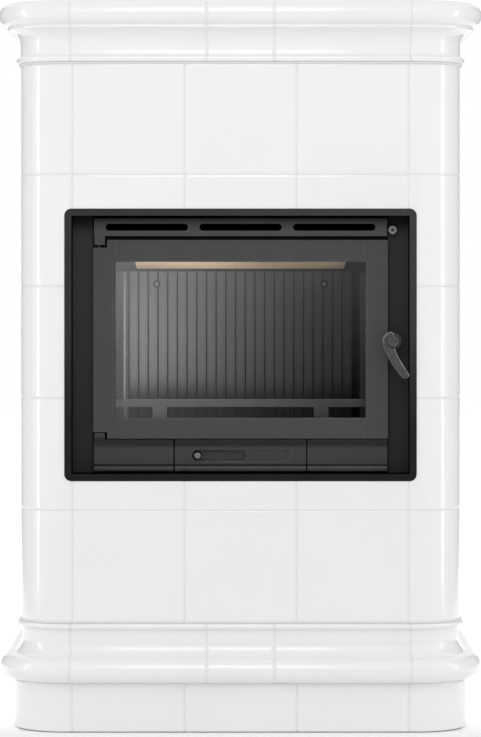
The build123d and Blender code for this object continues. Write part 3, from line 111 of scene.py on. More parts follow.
class Net:
    """A node tree that is being built; that of a finish also has its shader and material."""

    def __init__(self, tree):
        self.tree = tree

    def put(self, node, key, value):
        """Links or sets one input of a node."""
        if isinstance(value, Value):
            self.tree.links.new(value.socket, node.inputs[key])
        else:
            node.inputs[key].default_value = value

    def add(self, kind, settings=None, inputs=None, output=0):
        """Adds a node, sets it, feeds it, and gives one of its outputs."""
        node = self.tree.nodes.new(kind)
        for name, value in (settings or {}).items():
            setattr(node, name, value)
        for key, value in (inputs or {}).items():
            self.put(node, key, value)
        return Value(self, node.outputs[output])

    def feed(self, **inputs):
        """Feeds the finish's shader, an underscore standing for a space; gives the material."""
        for name, value in inputs.items():
            self.put(self.shader, name.replace("_", " "), value)
        return self.material

    def maths(self, operation, *terms):
        return self.add("ShaderNodeMath", {"operation": operation}, dict(enumerate(terms)))

    def size(self, value):
        return self.maths("ABSOLUTE", value)

    def smooth(self, value, low, high):
        """0 below low, 1 above high, and a smooth rise between them."""
        rise = {"Value": value, "From Min": low, "From Max": high}
        return self.add("ShaderNodeMapRange", {"interpolation_type": "SMOOTHSTEP"}, rise)

    def blend(self, share, first, second):
        """Colour between first and second."""
        return self.add("ShaderNodeMix", {"data_type": "RGBA"}, {0: share, 6: first, 7: second}, 2)

    def part(self, vector, axis):
        return self.add("ShaderNodeSeparateXYZ", inputs={"Vector": vector}, output=axis)

    def vector(self, **parts):
        return self.add("ShaderNodeCombineXYZ", inputs=parts)

    def noise(self, scale, detail=3.0, roughness=0.55):
        """Noise over the piece, of this scale per metre."""
        inputs = {"Vector": self.where, "Scale": scale, "Detail": detail, "Roughness": roughness}
        return self.add("ShaderNodeTexNoise", inputs=inputs)

    def flakes(self, scale):
        """One shade for each cell of a crystal pattern of this scale per metre."""
        cells = self.add("ShaderNodeTexVoronoi", inputs={"Vector": self.where, "Scale": scale},
                         output="Color")
        return self.add("ShaderNodeSeparateColor", inputs={"Color": cells})

    def mark(self, name):
        """A value that the mesh carries: glaze rim, edge mark (rubbing and painted highlight) or
        groove.
        """
        return self.add("ShaderNodeAttribute", {"attribute_name": name}, output="Fac")

    def bump(self, height, depth):
        """Bump from a height of 0 to 1 that stands for this depth in metres."""
        return self.add("ShaderNodeBump",
                        inputs={"Height": height, "Distance": depth, "Strength": 1.0})


def tone(red, green, blue):
    """Linear colour for a colour as it is seen on a screen, from 0 to 255."""
    channels = [c / 255 for c in (red, green, blue)]
    linear = [c / 12.92 if c <= 0.04045 else ((c + 0.055) / 1.055) ** 2.4 for c in channels]
    return (*linear, 1.0)


def grey(level, blue=0):
    """A grey tone with so much more blue."""
    return tone(level, level, level + blue)


print("grey 128 is", round(grey(128)[0], 3), "in linear light")

# %% [markdown]
# ## Finishes
#
# Each finish starts from the same few layers: a base colour with slow and fast variation, a
# roughness that follows it, and a bump for the grain. Noise works in the object's own metres,
# so that a scale of 800 means a grain of about a millimetre. Painted shade, painted shadows and
# painted highlights are laid over some finishes as bands across one axis.


# %% Material helpers
def finish_net(material):
    """The net of a material, with its surface shader and the place on the object."""
    net = Net(material.node_tree)
    net.material = material
    net.shader = next(node for node in net.tree.nodes if node.type == "BSDF_PRINCIPLED")
    net.where = net.add("ShaderNodeTexCoord", output="Object")
    return net


def new_finish(name):
    """The net of a new finish."""
    material = bpy.data.materials.new(name)
    material.use_nodes = True
    nodes = material.node_tree.nodes
    nodes.clear()
    shader = nodes.new("ShaderNodeBsdfPrincipled")
    output = nodes.new("ShaderNodeOutputMaterial")
    material.node_tree.links.new(shader.outputs["BSDF"], output.inputs["Surface"])
    return finish_net(material)


def painted_bands(material, bands, axis="Z"):
    """The finish with bands of painted light and shade; each is (middle, reach, blur, share,
    tone).
    """
    net = finish_net(material)
    along = net.part(net.where, axis)
    colour = Value(net, net.shader.inputs["Base Color"].links[0].from_socket)
    for middle, reach, blur, share, shade in bands:
        band = 1 - net.smooth(net.size(along - middle), reach, reach + blur)
        colour = net.blend(band * share, colour, shade)
    return net.feed(Base_Color=colour)


# %% White glaze
def white_glaze():
    """Opaque white stove-tile glaze: glossy, faintly wavy, thinner and greyer on edges."""
    net = new_finish("white_glaze")
    rim = net.mark("rim")
    body = net.blend(net.noise(7.0, 2.0), grey(243), grey(247))
    wave = net.noise(16.0, 1.0) * 0.75 + net.noise(260.0, 2.0) * 0.012
    return net.feed(Base_Color=net.blend(rim * 0.3, body, grey(230, -1)), IOR=1.5,
                    Roughness=net.noise(420.0, 2.0) * 0.05 + rim * 0.05 + 0.085,
                    Normal=net.bump(wave, 0.0009))


def joint_filler():
    """Fine pale grout: matt, sandy, slightly blotched."""
    net = new_finish("joint_filler")
    sand = net.noise(1500.0, 2.0)
    return net.feed(Base_Color=net.blend(net.noise(30.0, 4.0), grey(225), grey(237)),
                    Roughness=sand * 0.1 + 0.8, Normal=net.bump(sand, 0.0003))


# %% Iron and steel
def cast_skin(name, dark, pale, edge_tone, rough, coarse=700.0, depth=0.00012):
    """Sand-cast iron under paint: fine grain, soft blotches, edges paler from rubbing and painted
    highlight.
    """
    net = new_finish(name)
    blotch = net.noise(9.0, 4.0, 0.6)
    fine = net.noise(coarse, 4.0, 0.65)
    pits = net.smooth(net.noise(coarse * 0.45, 1.0), 0.3, 0.62)
    # Marked edges turn paler: partly rubbing, partly painted highlight.
    wear_and_highlight = net.mark("wear_and_highlight") * 0.7 * net.smooth(net.noise(60.0, 2.0), 0.2, 0.6)
    colour = net.blend(blotch * 0.6 + fine * 0.4, dark, pale)
    return net.feed(Base_Color=net.blend(wear_and_highlight, colour, edge_tone), Specular_IOR_Level=0.2,
                    Roughness=fine * 0.12 + blotch * 0.08 - wear_and_highlight * 0.1 + rough,
                    Normal=net.bump(fine * 0.6 + pits * 0.4, depth))


def handle_skin():
    """Rough cast iron of the handle: dark in the middle, paler on its rims from rubbing and
    painted highlight.
    """
    net = new_finish("handle_iron")
    cell = net.add("ShaderNodeTexVoronoi", {"feature": "SMOOTH_F1"},
                   {"Vector": net.where, "Scale": 300.0, "Smoothness": 0.6})
    lump = net.smooth(cell, 0.15, 0.7)
    cloud = net.noise(180.0, 4.0, 0.7)
    wear_and_highlight = net.mark("wear_and_highlight") * net.smooth(net.noise(150.0), 0.25, 0.55)
    colour = net.blend(net.smooth(cloud, 0.3, 0.7), grey(53, 1), grey(80, 1))
    return net.feed(Base_Color=net.blend(wear_and_highlight * 0.7, colour, grey(168)),
                    Roughness=net.noise(1400.0) * 0.1 + 0.42 - wear_and_highlight * 0.1,
                    Specular_IOR_Level=0.32, Normal=net.bump(lump * 0.6 + cloud * 0.4, 0.0006))


def powder_coat(name, low, high, rise, sides):
    """Black powder coat on sheet: fine orange peel, and painted light, paler high up and to one
    side.
    """
    net = new_finish(name)
    blotch = net.noise(5.0)
    peel = net.noise(900.0, 1.5)
    left, right = sides
    # Painted light: paler high up and more so on one side; marked edges paler, partly painted
    # highlight.
    share = net.smooth(net.part(net.where, "X"), -0.3, 0.33) * (right - left) + left
    painted_light = net.smooth(net.part(net.where, "Z"), *rise) * share + blotch * 0.1
    colour = net.blend(net.mark("wear_and_highlight") * 0.35, net.blend(painted_light, low, high), grey(88, 1))
    return net.feed(Base_Color=colour, Roughness=peel * 0.08 + blotch * 0.06 + 0.46,
                    Specular_IOR_Level=0.12, Normal=net.bump(peel, 0.00006))


def shaded_black(name, dark, pale):
    """Flat black that stands for shade on faces that lie back in the insert, with a fine grain."""
    net = new_finish(name)
    fine = net.noise(800.0, 2.0)
    return net.feed(Base_Color=net.blend(net.noise(20.0, 4.0), dark, pale),
                    Roughness=fine * 0.1 + 0.85, Specular_IOR_Level=0.0,
                    Normal=net.bump(fine, 0.0001))


def plain_steel(name, dark, pale, rough, scale):
    """Bare or galvanised sheet with a faint crystal pattern; marked edges paler from rubbing and
    painted highlight.
    """
    net = new_finish(name)
    mix = net.flakes(scale) * 0.5 + net.noise(14.0, 4.0) * 0.5
    colour = net.blend(net.mark("wear_and_highlight") * 0.7, net.blend(mix, dark, pale), grey(225))
    return net.feed(Base_Color=colour, Metallic=0.85, Roughness=mix * 0.16 + rough,
                    Normal=net.bump(net.noise(500.0), 0.00004))


# %% Firebox finishes
def soot_and_shade_iron(name, dark, pale):
    """Firebox iron: dull, blotched with soot, with painted shade low down and in the grooves."""
    net = new_finish(name)
    soot = net.noise(11.0, 5.0, 0.6)
    fine = net.noise(700.0)
    # Painted shade: darkest low down.
    low_shade = net.smooth(net.part(net.where, "Z") + soot * 0.03, 0.71, 0.645)
    colour = net.blend(low_shade * 0.96, net.blend(soot, dark, pale), grey(8))
    # The groove mask darkens the colour: painted shade in the liner's grooves.
    return net.feed(Base_Color=net.blend(net.mark("groove"), colour, grey(3)),
                    Roughness=fine * 0.15 + 0.62,
                    Normal=net.bump(fine * 0.5 + soot * 0.5, 0.0004))


def fire_board():
    """Pressed vermiculite of the baffle: warm beige with flakes and tiny voids."""
    net = new_finish("fire_board")
    shade = net.flakes(230.0)
    colour = net.blend(shade * 0.6 + net.noise(22.0, 4.0) * 0.4,
                       tone(222, 193, 158), tone(240, 213, 178))
    return net.feed(Base_Color=colour, Roughness=shade * 0.1 + 0.82,
                    Normal=net.bump(shade, 0.0006))


def stove_glass():
    """Clear ceramic glass with a thin coating that mirrors the room a little."""
    net = new_finish("stove_glass")
    film = net.noise(6.0, 4.0)
    return net.feed(Base_Color=net.blend(film, grey(214), grey(228, 1)), Metallic=1.0,
                    Roughness=film * 0.03 + 0.02, Alpha=film * 0.02 + 0.1)


def rope_weave():
    """Glass-fibre rope seal, graphite grey, with a slanting braid."""
    net = new_finish("rope_weave")
    strands = {"Vector": net.where, "Scale": 190.0, "Distortion": 0.6, "Detail": 1.0}
    weave = net.add("ShaderNodeTexWave", {"bands_direction": "DIAGONAL"}, strands, output=1)
    return net.feed(Base_Color=net.blend(weave, grey(38, 1), tone(72, 71, 70)),
                    Roughness=net.noise(900.0) * 0.1 + 0.85, Normal=net.bump(weave, 0.0008))


# %% Make the finishes
RAIL_JOINT = 0.2502
# Near-black tone for painted shade and painted shadows.
PAINTED_SHADE = grey(8)
GLAZE = white_glaze()
GROUT = joint_filler()
# Door iron with a painted shade line down each joint where the stiles meet the rails.
DOOR_IRON = painted_bands(cast_skin("door_black", grey(64, 1), grey(75, 1), grey(132, 1), 0.42),
                   [(side * RAIL_JOINT, 0.0002, 0.0007, 0.55, grey(28)) for side in (-1, 1)], "X")
# Cast iron; near 1.03 m high a painted shadow of the surround's top darkens the grille.
SILL_IRON = painted_bands(cast_skin("stove_black", grey(66, 1), grey(77, 1), grey(120, 1), 0.42),
                   [(1.03, 0.012, 0.011, 0.7, PAINTED_SHADE), (1.03, 0.022, 0.014, 0.3, PAINTED_SHADE)])
# Sill iron: a painted shadow of the door along its top, painted shade in its groove, and a painted
# highlight on the lip below.
SILL_SKIN = painted_bands(cast_skin("sill_black", grey(55, 1), grey(66, 1), grey(120, 1), 0.44),
                   [(0.5725, 0.0035, 0.011, 0.75, PAINTED_SHADE), (0.5264, 0.0014, 0.0012, 0.7, PAINTED_SHADE),
                    (0.5214, 0.0008, 0.0018, 0.25, grey(120))])
HANDLE_IRON = handle_skin()
# Painted light: the surround is paler high up and on the right, the infills high up and on the
# left; a painted shadow of the surround darkens the top of the infills.
COAT = powder_coat("surround_coat", grey(22, 1), grey(57, 1), (0.57, 0.86), (0.6, 0.95))
INFILL_COAT = powder_coat("infill_coat", grey(46, 1), grey(60, 1), (0.53, 0.96), (0.9, 0.5))
painted_bands(INFILL_COAT, [(1.04, 0.024, 0.031, 0.85, PAINTED_SHADE)])
# Painted shade: SHADED is near-black for the surround's return, knob grooves, baffle rails and
# washers; PLATE, paler, for the front plate, the flue collar and the inside of the rear panel.
SHADED = shaded_black("shaded_black", grey(7), grey(15))
PLATE = shaded_black("plate_black", grey(36), grey(46))
# Side liners in flat black as painted shade, with painted light on the strips beside the glass,
# brighter on the left.
SIDE_LINER = painted_bands(shaded_black("side_liner_black", grey(12), grey(24)),
                    [(-0.247, 0.0115, 0.0012, 0.9, grey(92)),
                     (0.2465, 0.007, 0.0012, 0.9, grey(60))], "X")
STEEL = plain_steel("blued_steel", tone(40, 41, 43), tone(58, 59, 61), 0.42, 160.0)
ZINC = plain_steel("zinc_sheet", tone(150, 153, 156), tone(184, 187, 190), 0.32, 60.0)
KNOB_STEEL = plain_steel("knob_steel", grey(100, 1), grey(128), 0.36, 300.0)
SCREW_STEEL = plain_steel("screw_steel", grey(118), grey(150), 0.5, 300.0)
LINER_IRON = soot_and_shade_iron("liner_iron", tone(66, 64, 65), tone(84, 82, 83))
SOOT_AND_SHADE = soot_and_shade_iron("soot_and_shade_iron", grey(30), grey(44))
# Log guard iron, paler towards the left: painted light.
GUARD_IRON = painted_bands(cast_skin("guard_iron", grey(70), grey(86), grey(110), 0.5, 500.0, 0.0002),
                    [(-0.3, 0.1, 0.5, 0.6, grey(126))], "X")
# Baffle board, darker towards the left: painted shade against the light of the inner strip.
BOARD = painted_bands(fire_board(), [(-0.24, 0.04, 0.17, 0.5, PAINTED_SHADE)], "X")
SLOT_FINISH = {
    "white_glaze": GLAZE,
    "grout": GROUT,
    "cast_iron": SILL_IRON,
    "handle_iron": HANDLE_IRON,
    "black_steel": COAT,
    "steel": STEEL,
    "galvanised": ZINC,
    "knob_steel": KNOB_STEEL,
    "fireclay": BOARD,
    "stove_glass": stove_glass(),
    "rope_seal": rope_weave(),
}
INSIDE = ("hearth_plate", "grate", "firebox_back", "firebox_sides", "firebox_top", "liner_bolts")
OWN_FINISH = {name: SOOT_AND_SHADE for name in INSIDE}
OWN_FINISH.update(front_plate=PLATE, air_slider=SILL_SKIN, side_liners=SIDE_LINER,
                  flue_collar=PLATE, infill_left=INFILL_COAT, infill_right=INFILL_COAT)
for name, node in frame["nodes"].items():
    node.data.materials.clear()
    node.data.materials.append(OWN_FINISH.get(name, SLOT_FINISH[slot_of_node[name]]))
used = {node.data.materials[0].name for node in frame["nodes"].values()}
print("finishes on the nodes:", len(used))


# %% [markdown]
# ## Adding pieces
#
# A new piece stands for one or more CAD nodes: it rides on their body, takes the finish that
# it is given, and hides them.


# %% Piece helpers
@contextmanager
def opened(mesh):
    """The mesh as a bmesh, which is written back at the end."""
    build = bmesh.new()
    build.from_mesh(mesh)
    yield build
    build.to_mesh(mesh)
    build.free()


def in_scene(name, data):
    """A new object with this data, linked into the scene."""
    thing = bpy.data.objects.new(name, data)
    bpy.context.scene.collection.objects.link(thing)
    return thing


def outcome(host):
    """The mesh that a helper object comes to, which then leaves the scene."""
    graph = bpy.context.evaluated_depsgraph_get()
    mesh = bpy.data.meshes.new_from_object(host.evaluated_get(graph))
    host.modifiers.clear()
    bpy.data.objects.remove(host)
    return mesh


def mesh_of(points, faces):
    mesh = bpy.data.meshes.new("mesh")
    mesh.from_pydata(points, [], faces)
    return mesh


def new_piece(name, mesh, finish, nodes, crease=35):
    """A finished mesh becomes a piece that stands for these CAD nodes."""
    mesh.name = name
    mesh.materials.clear()
    mesh.materials.append(finish)
    if crease is not None:
        mesh.shade_smooth()
        mesh.set_sharp_from_angle(angle=math.radians(crease))
    piece = in_scene(name, mesh)
    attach(piece, body_of_node[nodes[0]])
    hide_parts(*nodes)
    print(name, len(mesh.vertices), "vertices")
    return piece


def joined(meshes):
    """One mesh from several."""
    first, *others = meshes
    with opened(first) as build:
        for mesh in others:
            build.from_mesh(mesh)
    return first


def facing_out(mesh):
    """Closes the open back of each shell and turns its faces outwards."""
    with opened(mesh) as build:
        rims = [edge for edge in build.edges if edge.is_boundary]
        bmesh.ops.holes_fill(build, edges=rims, sides=0)
        bmesh.ops.recalc_face_normals(build, faces=build.faces)
    return mesh


def welded(mesh):
    """The closed mesh with its doubled points merged and its faces turned outwards."""
    with opened(mesh) as build:
        bmesh.ops.remove_doubles(build, verts=build.verts, dist=1e-6)
    return facing_out(mesh)


def span(node, axis):
    """Lowest and highest value of a CAD node along one axis."""
    low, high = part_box(node)
    return low[axis], high[axis]


# %% [markdown]
# ## The tile field
#
# Stove tiles are pressed, glazed and fired one by one. Their edges are slightly rounded and
# no two sit exactly flat, which is what breaks up the reflections on a real tiled wall. The
# flat tiles follow one rule, so a Geometry Nodes tree makes one tile from a grid, lowers its
# edges, adds its sides, and sets it out in courses with a tiny random tilt.


# %% Geometry tree helpers
def new_tree(name, inputs):
    """A geometry tree with inputs named by kind, and the net to build in."""
    tree = bpy.data.node_groups.new(name, "GeometryNodeTree")
    tree.interface.new_socket("Geometry", in_out="OUTPUT", socket_type="NodeSocketGeometry")
    labels = [(label, kind) for kind, labels in inputs.items() for label in labels]
    for label, kind in labels:
        tree.interface.new_socket(label, in_out="INPUT", socket_type="NodeSocket" + kind)
    net = Net(tree)
    source = tree.nodes.new("NodeGroupInput")
    return net, {label: Value(net, source.outputs[label]) for label, _ in labels}


def grid_places(net):
    spot = net.add("GeometryNodeInputPosition")
    return net.part(spot, "X"), net.part(spot, "Y")


def moulded(net, grid, label, value, place):
    """The grid with a value stored under a label and its points set to their place."""
    grid = net.add("GeometryNodeStoreNamedAttribute",
                   inputs={0: grid, "Name": label, "Value": value})
    return net.add("GeometryNodeSetPosition", inputs={"Geometry": grid, "Position": place})


def with_sides(net, face, depth):
    """The face with sides, drawn back from its border edges."""
    border = net.add("GeometryNodeInputMeshEdgeNeighbors")
    border = net.add("FunctionNodeCompare", {"data_type": "INT", "operation": "EQUAL"},
                     {2: border, 3: 1})
    return net.add("GeometryNodeExtrudeMesh", {"mode": "EDGES"},
                   {"Mesh": face, "Selection": border, "Offset": net.vector(Y=depth),
                    "Offset Scale": 1.0})


def set_out(net, points, piece, **inputs):
    """Real copies of a piece on these points."""
    copies = net.add("GeometryNodeInstanceOnPoints",
                     inputs={"Points": points, "Instance": piece, **inputs})
    return net.add("GeometryNodeRealizeInstances", inputs={0: copies})


def close_tree(net, geometry, finish):
    """Gives the geometry its finish and leads it out of the tree."""
    output = net.tree.nodes.new("NodeGroupOutput")
    geometry = net.add("GeometryNodeSetMaterial", inputs={0: geometry, "Material": finish})
    net.tree.links.new(geometry.socket, output.inputs[0])
    return net.tree


def grown(tree, sizes):
    """The plain mesh that a tree makes for these sizes."""
    host = in_scene("host", bpy.data.meshes.new("host"))
    modifier = host.modifiers.new("grow", "NODES")
    modifier.node_group = tree
    for item in tree.interface.items_tree:
        if item.in_out == "INPUT" and item.name in sizes:
            modifier[item.identifier] = sizes[item.name]
    return outcome(host)


# %% One rounded tile, set out in courses
TILE_INPUTS = {
    "Float": ("Width", "Height", "Pitch across", "Pitch up", "Rounding", "Drop", "Depth", "Tilt"),
    "Int": ("Columns", "Rows", "Seed"),
    "Material": ("Glaze",),
}
TILE_POINTS = 35
EDGE_CROWDING = 2.4


def graded(net, share, length):
    """Grid coordinate from -1 to 1 as a place along the tile, crowded near both edges."""
    gap = ((1 - net.size(share)) ** EDGE_CROWDING) * length * 0.5
    return net.maths("SIGN", share) * (length * 0.5 - gap), gap


def tile_tree():
    net, value = new_tree("Tile courses", TILE_INPUTS)
    grid = net.add("GeometryNodeMeshGrid", inputs={0: 2.0, 1: 2.0, 2: TILE_POINTS, 3: TILE_POINTS})
    across, up = grid_places(net)
    x, side_gap = graded(net, across, value["Width"])
    z, end_gap = graded(net, up, value["Height"])
    side_rim, end_rim = (net.maths("MAXIMUM", 1 - gap / value["Rounding"], 0.0)
                         for gap in (side_gap, end_gap))
    fall = (side_rim * side_rim + end_rim * end_rim) * value["Drop"]
    rim = net.maths("MAXIMUM", side_rim, end_rim)
    face = moulded(net, grid, "rim", rim, net.vector(X=x, Y=fall, Z=z))
    tile = with_sides(net, face, value["Depth"])
    wide = (value["Columns"] - 1) * value["Pitch across"]
    high = (value["Rows"] - 1) * value["Pitch up"]
    lattice = net.add("GeometryNodeMeshGrid",
                      inputs={0: wide, 1: high, 2: value["Columns"], 3: value["Rows"]})
    lattice = net.add("GeometryNodeTransform",
                      inputs={"Geometry": lattice, "Rotation": (math.pi / 2, 0.0, 0.0)})
    lean = net.vector(X=value["Tilt"], Z=value["Tilt"])
    back_lean = net.add("ShaderNodeVectorMath", {"operation": "SCALE"}, {0: lean, "Scale": -1.0})
    turn = net.add("FunctionNodeRandomValue", {"data_type": "FLOAT_VECTOR"},
                   {0: back_lean, 1: lean, "Seed": value["Seed"]})
    return close_tree(net, set_out(net, lattice, tile, Rotation=turn), value["Glaze"])


TILE_TREE = tile_tree()
TILE_ROUNDING = 5 * MM
TILE_DROP = 0.9 * MM
TILE_DEPTH = 45 * MM
TILE_TILT = math.radians(0.09)
JOINT = 1.5 * MM
PITCH = 222 * MM


def tile_courses(columns, rows, height, centre, turn=0.0, seed=1):
    """Courses of flat tiles round a centre; height is that of one tile."""
    sizes = {
        "Width": PITCH - JOINT, "Height": height, "Columns": columns, "Rows": rows,
        "Pitch across": PITCH, "Pitch up": PITCH, "Rounding": TILE_ROUNDING, "Drop": TILE_DROP,
        "Depth": TILE_DEPTH, "Tilt": TILE_TILT, "Seed": seed, "Glaze": GLAZE,
    }
    mesh = grown(TILE_TREE, sizes)
    mesh.transform(Matrix.Translation(centre) @ Matrix.Rotation(turn, 4, "Z"))
    return facing_out(mesh)


# %% Front and side tiles
face_y = span("front_tiles_above", 1)[0]
half_width = span("side_tiles", 0)[1]
back_y = span("side_tiles", 1)[1]
field_low = span("side_tiles", 2)[0] - JOINT / 2
field_top = span("side_tiles", 2)[1] + JOINT / 2
low_front = span("front_tiles_below", 2)
high_front = span("front_tiles_above", 2)


def front_rows(name, node, joint, seeds):
    """Two rows of front tiles that meet at this joint, for one CAD node."""
    low, top = span(node, 2)
    rows = []
    for (start, end), seed in zip(((low, joint - JOINT / 2), (joint + JOINT / 2, top)), seeds):
        centre = Vector((0, face_y, (start + end) / 2))
        rows.append(tile_courses(3, 1, end - start, centre, seed=seed))
    new_piece(name, joined(rows), GLAZE, [node])


front_rows("glazed_front_low", "front_tiles_below", field_low + PITCH, (3, 5))
front_rows("glazed_front_high", "front_tiles_above", field_top - PITCH, (8, 13))
middle = Vector((0, back_y - PITCH, (field_low + field_top) / 2))
sides = []
for side, seed in ((1, 21), (-1, 34)):
    centre = middle + Vector((side * half_width, 0, 0))
    sides.append(tile_courses(2, 5, PITCH - JOINT, centre, side * math.pi / 2, seed))
new_piece("glazed_sides", joined(sides), GLAZE, ["side_tiles"])


# %% [markdown]
# ## Corners and mouldings
#
# The corner tiles, the plinth, the base moulding and the cornice all follow the outline of
# the casing: straight along the front, a quarter turn at each corner, straight along the
# sides. Each is one section carried along that line. The section is drawn once as arcs and
# straight runs, its creases are softened as thick glaze softens them, and each length drops
# slightly at its ends, where it meets the next joint.


# %% The line round the casing
CORNER_RADIUS = 95 * MM
straight = half_width - CORNER_RADIUS
bend = CORNER_RADIUS * math.pi / 2
side_start = straight + bend


def on_line(run):
    """Place and outward direction on the casing, this far from the front's middle."""
    side = math.copysign(1, run)
    run = abs(run)
    if run <= straight:
        return side * run, face_y, 0.0, -1.0
    if run <= side_start:
        angle = (run - straight) / CORNER_RADIUS
        out_x, out_y = math.sin(angle), -math.cos(angle)
        return (side * (straight + CORNER_RADIUS * out_x),
                face_y + CORNER_RADIUS * (1 + out_y), side * out_x, out_y)
    return side * half_width, face_y + CORNER_RADIUS + run - side_start, side, 0.0


def off_line(run, offset, z):
    """The point at this height, this far out from the line."""
    x, y, out_x, out_y = on_line(run)
    return x + offset * out_x, y + offset * out_y, z


def run_at_depth(depth):
    """Distance along the line of a place on the side, this far behind the front."""
    return side_start + depth - CORNER_RADIUS


def arc(centre, radius, start, end, count=22):
    """Points of an arc in a section, between two angles in degrees."""
    angles = np.radians(np.linspace(start, end, count))
    return [(centre[0] + radius * math.cos(a), centre[1] + radius * math.sin(a)) for a in angles]


# %% Sections, each as (offset from the tile face, height)
plinth_top = span("plinth_front", 2)[1]
plinth_out = face_y - span("plinth_front", 1)[0]
base_low, base_top = span("base_moulding_front", 2)
cornice_low, cornice_top = span("cornice_front", 2)
TORUS_RADIUS = 24.5 * MM
TORUS_REACH = 41.5 * MM
NECK = (-3.5 * MM, 8.5 * MM)
BASE_COVE = 28 * MM
BASE_BEAD = (6.8 * MM, 5.75 * MM)
CORNICE_BEAD = (9.5 * MM, 6.5 * MM)
CORNICE_FLAT = (0.5 * MM, 25 * MM)
CORNICE_FLARE = 11 * MM
FILLET = (27.5 * MM, 5 * MM)
FILLET_STEP = 3.5 * MM
QUIRK = 1.5 * MM
CREASE = 1.6 * MM
ROLL_RADIUS = 24 * MM
ROLL_REACH = 44.5 * MM
TOP_LEDGE = -25 * MM
FOOT_ROUND = 1.6 * MM
FOOT_GAP = 2.2 * MM
FOOT_SETBACK = 9 * MM


def hollow(start, end, rising):
    """A cove between two points that leaves the start straight up or down."""
    dx = end[0] - start[0]
    dz = end[1] - start[1]
    radius = (dx * dx + dz * dz) / (2 * dx)
    centre = (start[0] + radius, start[1])
    sweep = math.degrees(math.atan2(abs(dz), radius - dx))
    return arc(centre, radius, 180, 180 - sweep if rising else 180 + sweep)


def base_section():
    torus_x = TORUS_REACH - TORUS_RADIUS
    crease = base_low + 2 * TORUS_RADIUS
    bead_x = BASE_BEAD[0] - BASE_BEAD[1]
    bead_z = base_top - 2 * BASE_BEAD[1]
    torus = arc((torus_x, base_low + TORUS_RADIUS), TORUS_RADIUS, -90, 90, 40)
    cove = hollow((NECK[0], crease + BASE_COVE), (torus_x, crease), rising=False)[::-1]
    neck = [(NECK[0], bead_z)]
    bead = arc((bead_x, bead_z + BASE_BEAD[1]), BASE_BEAD[1], -90, 90)
    return torus + cove[1:] + neck + bead


def cornice_section():
    bead_x = CORNICE_BEAD[0] - CORNICE_BEAD[1]
    bead_top = cornice_low + 2 * CORNICE_BEAD[1]
    cove_z = bead_top + CORNICE_FLAT[1]
    roll_x = ROLL_REACH - ROLL_RADIUS
    roll_z = cornice_top - 2 * ROLL_RADIUS
    fillet_top = roll_z - QUIRK
    fillet_z = fillet_top - FILLET[1]
    cove_x = FILLET[0] - FILLET_STEP
    bead = arc((bead_x, cornice_low + CORNICE_BEAD[1]), CORNICE_BEAD[1], -90, 90)
    flare = hollow((CORNICE_FLAT[0], bead_top + CORNICE_FLARE), (bead_x, bead_top), False)
    flat = flare[::-1][1:]
    cove = hollow((CORNICE_FLAT[0], cove_z), (cove_x, fillet_z), rising=True)
    crease = math.degrees(math.asin((FILLET[0] - CREASE - roll_x) / ROLL_RADIUS))
    step = [(FILLET[0], fillet_z), (FILLET[0], fillet_top), (FILLET[0] - CREASE, fillet_top)]
    roll = arc((roll_x, roll_z + ROLL_RADIUS), ROLL_RADIUS, crease - 90, 90, 40)
    return bead + flat + cove + step + roll + [(TOP_LEDGE, cornice_top)]


print("casing line is", round(2 * run_at_depth(back_y - face_y), 3), "m long")


# %% Softened sections
SECTION_STEP = 0.9 * MM
SOFTNESS = 1.2 * MM


def resampled(points, step):
    """The same outline with points at an even step."""
    points = np.array(points)
    gaps = np.linalg.norm(np.diff(points, axis=0), axis=1)
    lengths = np.concatenate([[0], np.cumsum(gaps)])
    count = max(2, int(lengths[-1] / step) + 1)
    targets = np.linspace(0, lengths[-1], count)
    return np.column_stack([np.interp(targets, lengths, points[:, i]) for i in (0, 1)])


def softened_section(points, softness=SOFTNESS):
    """Even points along the outline, with its creases rounded as glaze rounds them."""
    even = resampled(points, SECTION_STEP)
    reach = int(3 * softness / SECTION_STEP)
    weights = np.exp(-0.5 * (np.arange(-reach, reach + 1) * SECTION_STEP / softness) ** 2)
    weights /= weights.sum()
    soft = even.copy()
    for i in (0, 1):
        first, last = even[0, i], even[-1, i]
        head = 2 * first - even[1:reach + 1, i][::-1]
        tail = 2 * last - even[-reach - 1:-1, i][::-1]
        soft[:, i] = np.convolve(np.concatenate([head, even[:, i], tail]), weights, "valid")
    return soft


def section_directions(section):
    """Outward direction at each point of a section."""
    tangent = np.gradient(section, axis=0)
    tangent /= np.linalg.norm(tangent, axis=1)[:, None] + 1e-12
    return np.column_stack([tangent[:, 1], -tangent[:, 0]])


# %% One length of a moulding
RIM_STEPS = [near * MM for near in (0.4, 0.9, 1.6, 2.5, 3.6, 5.0, 7.0)]


def stations(start, end):
    """Places along the line, closer near the ends and round the corners."""
    places = {start, end}
    for near in RIM_STEPS:
        places |= {start + near, end - near}
    inner = np.linspace(start, end, max(3, int(abs(end - start) / (25 * MM))))
    places |= set(inner[1:-1])
    bend_places = np.linspace(straight, side_start, 25)
    places |= {p for s in (1, -1) for p in s * bend_places if start < p < end}
    ordered = sorted(places)
    kept = [ordered[0]]
    for spot in ordered[1:-1]:
        if spot - kept[-1] > 0.3 * MM and ordered[-1] - spot > 0.3 * MM:
            kept.append(spot)
    return kept + [ordered[-1]]


def rim_share(distances):
    return np.clip(1 - np.asarray(distances) / TILE_ROUNDING, 0, 1)


def clear_of_opening(run, height, opening):
    """The run, kept outside the opening's half width at the heights of the opening."""
    if opening is None:
        return run
    half, low, top = opening
    if low < height < top and abs(run) < half:
        return math.copysign(half, run)
    return run


def wound(count, rows):
    """Side faces of a closed profile of so many rows, carried through so many places."""
    corners = ((0, 0), (1, 0), (1, 1), (0, 1))
    return [tuple((i + di) * rows + (j + dj) % rows for di, dj in corners)
            for i in range(count - 1) for j in range(rows)]


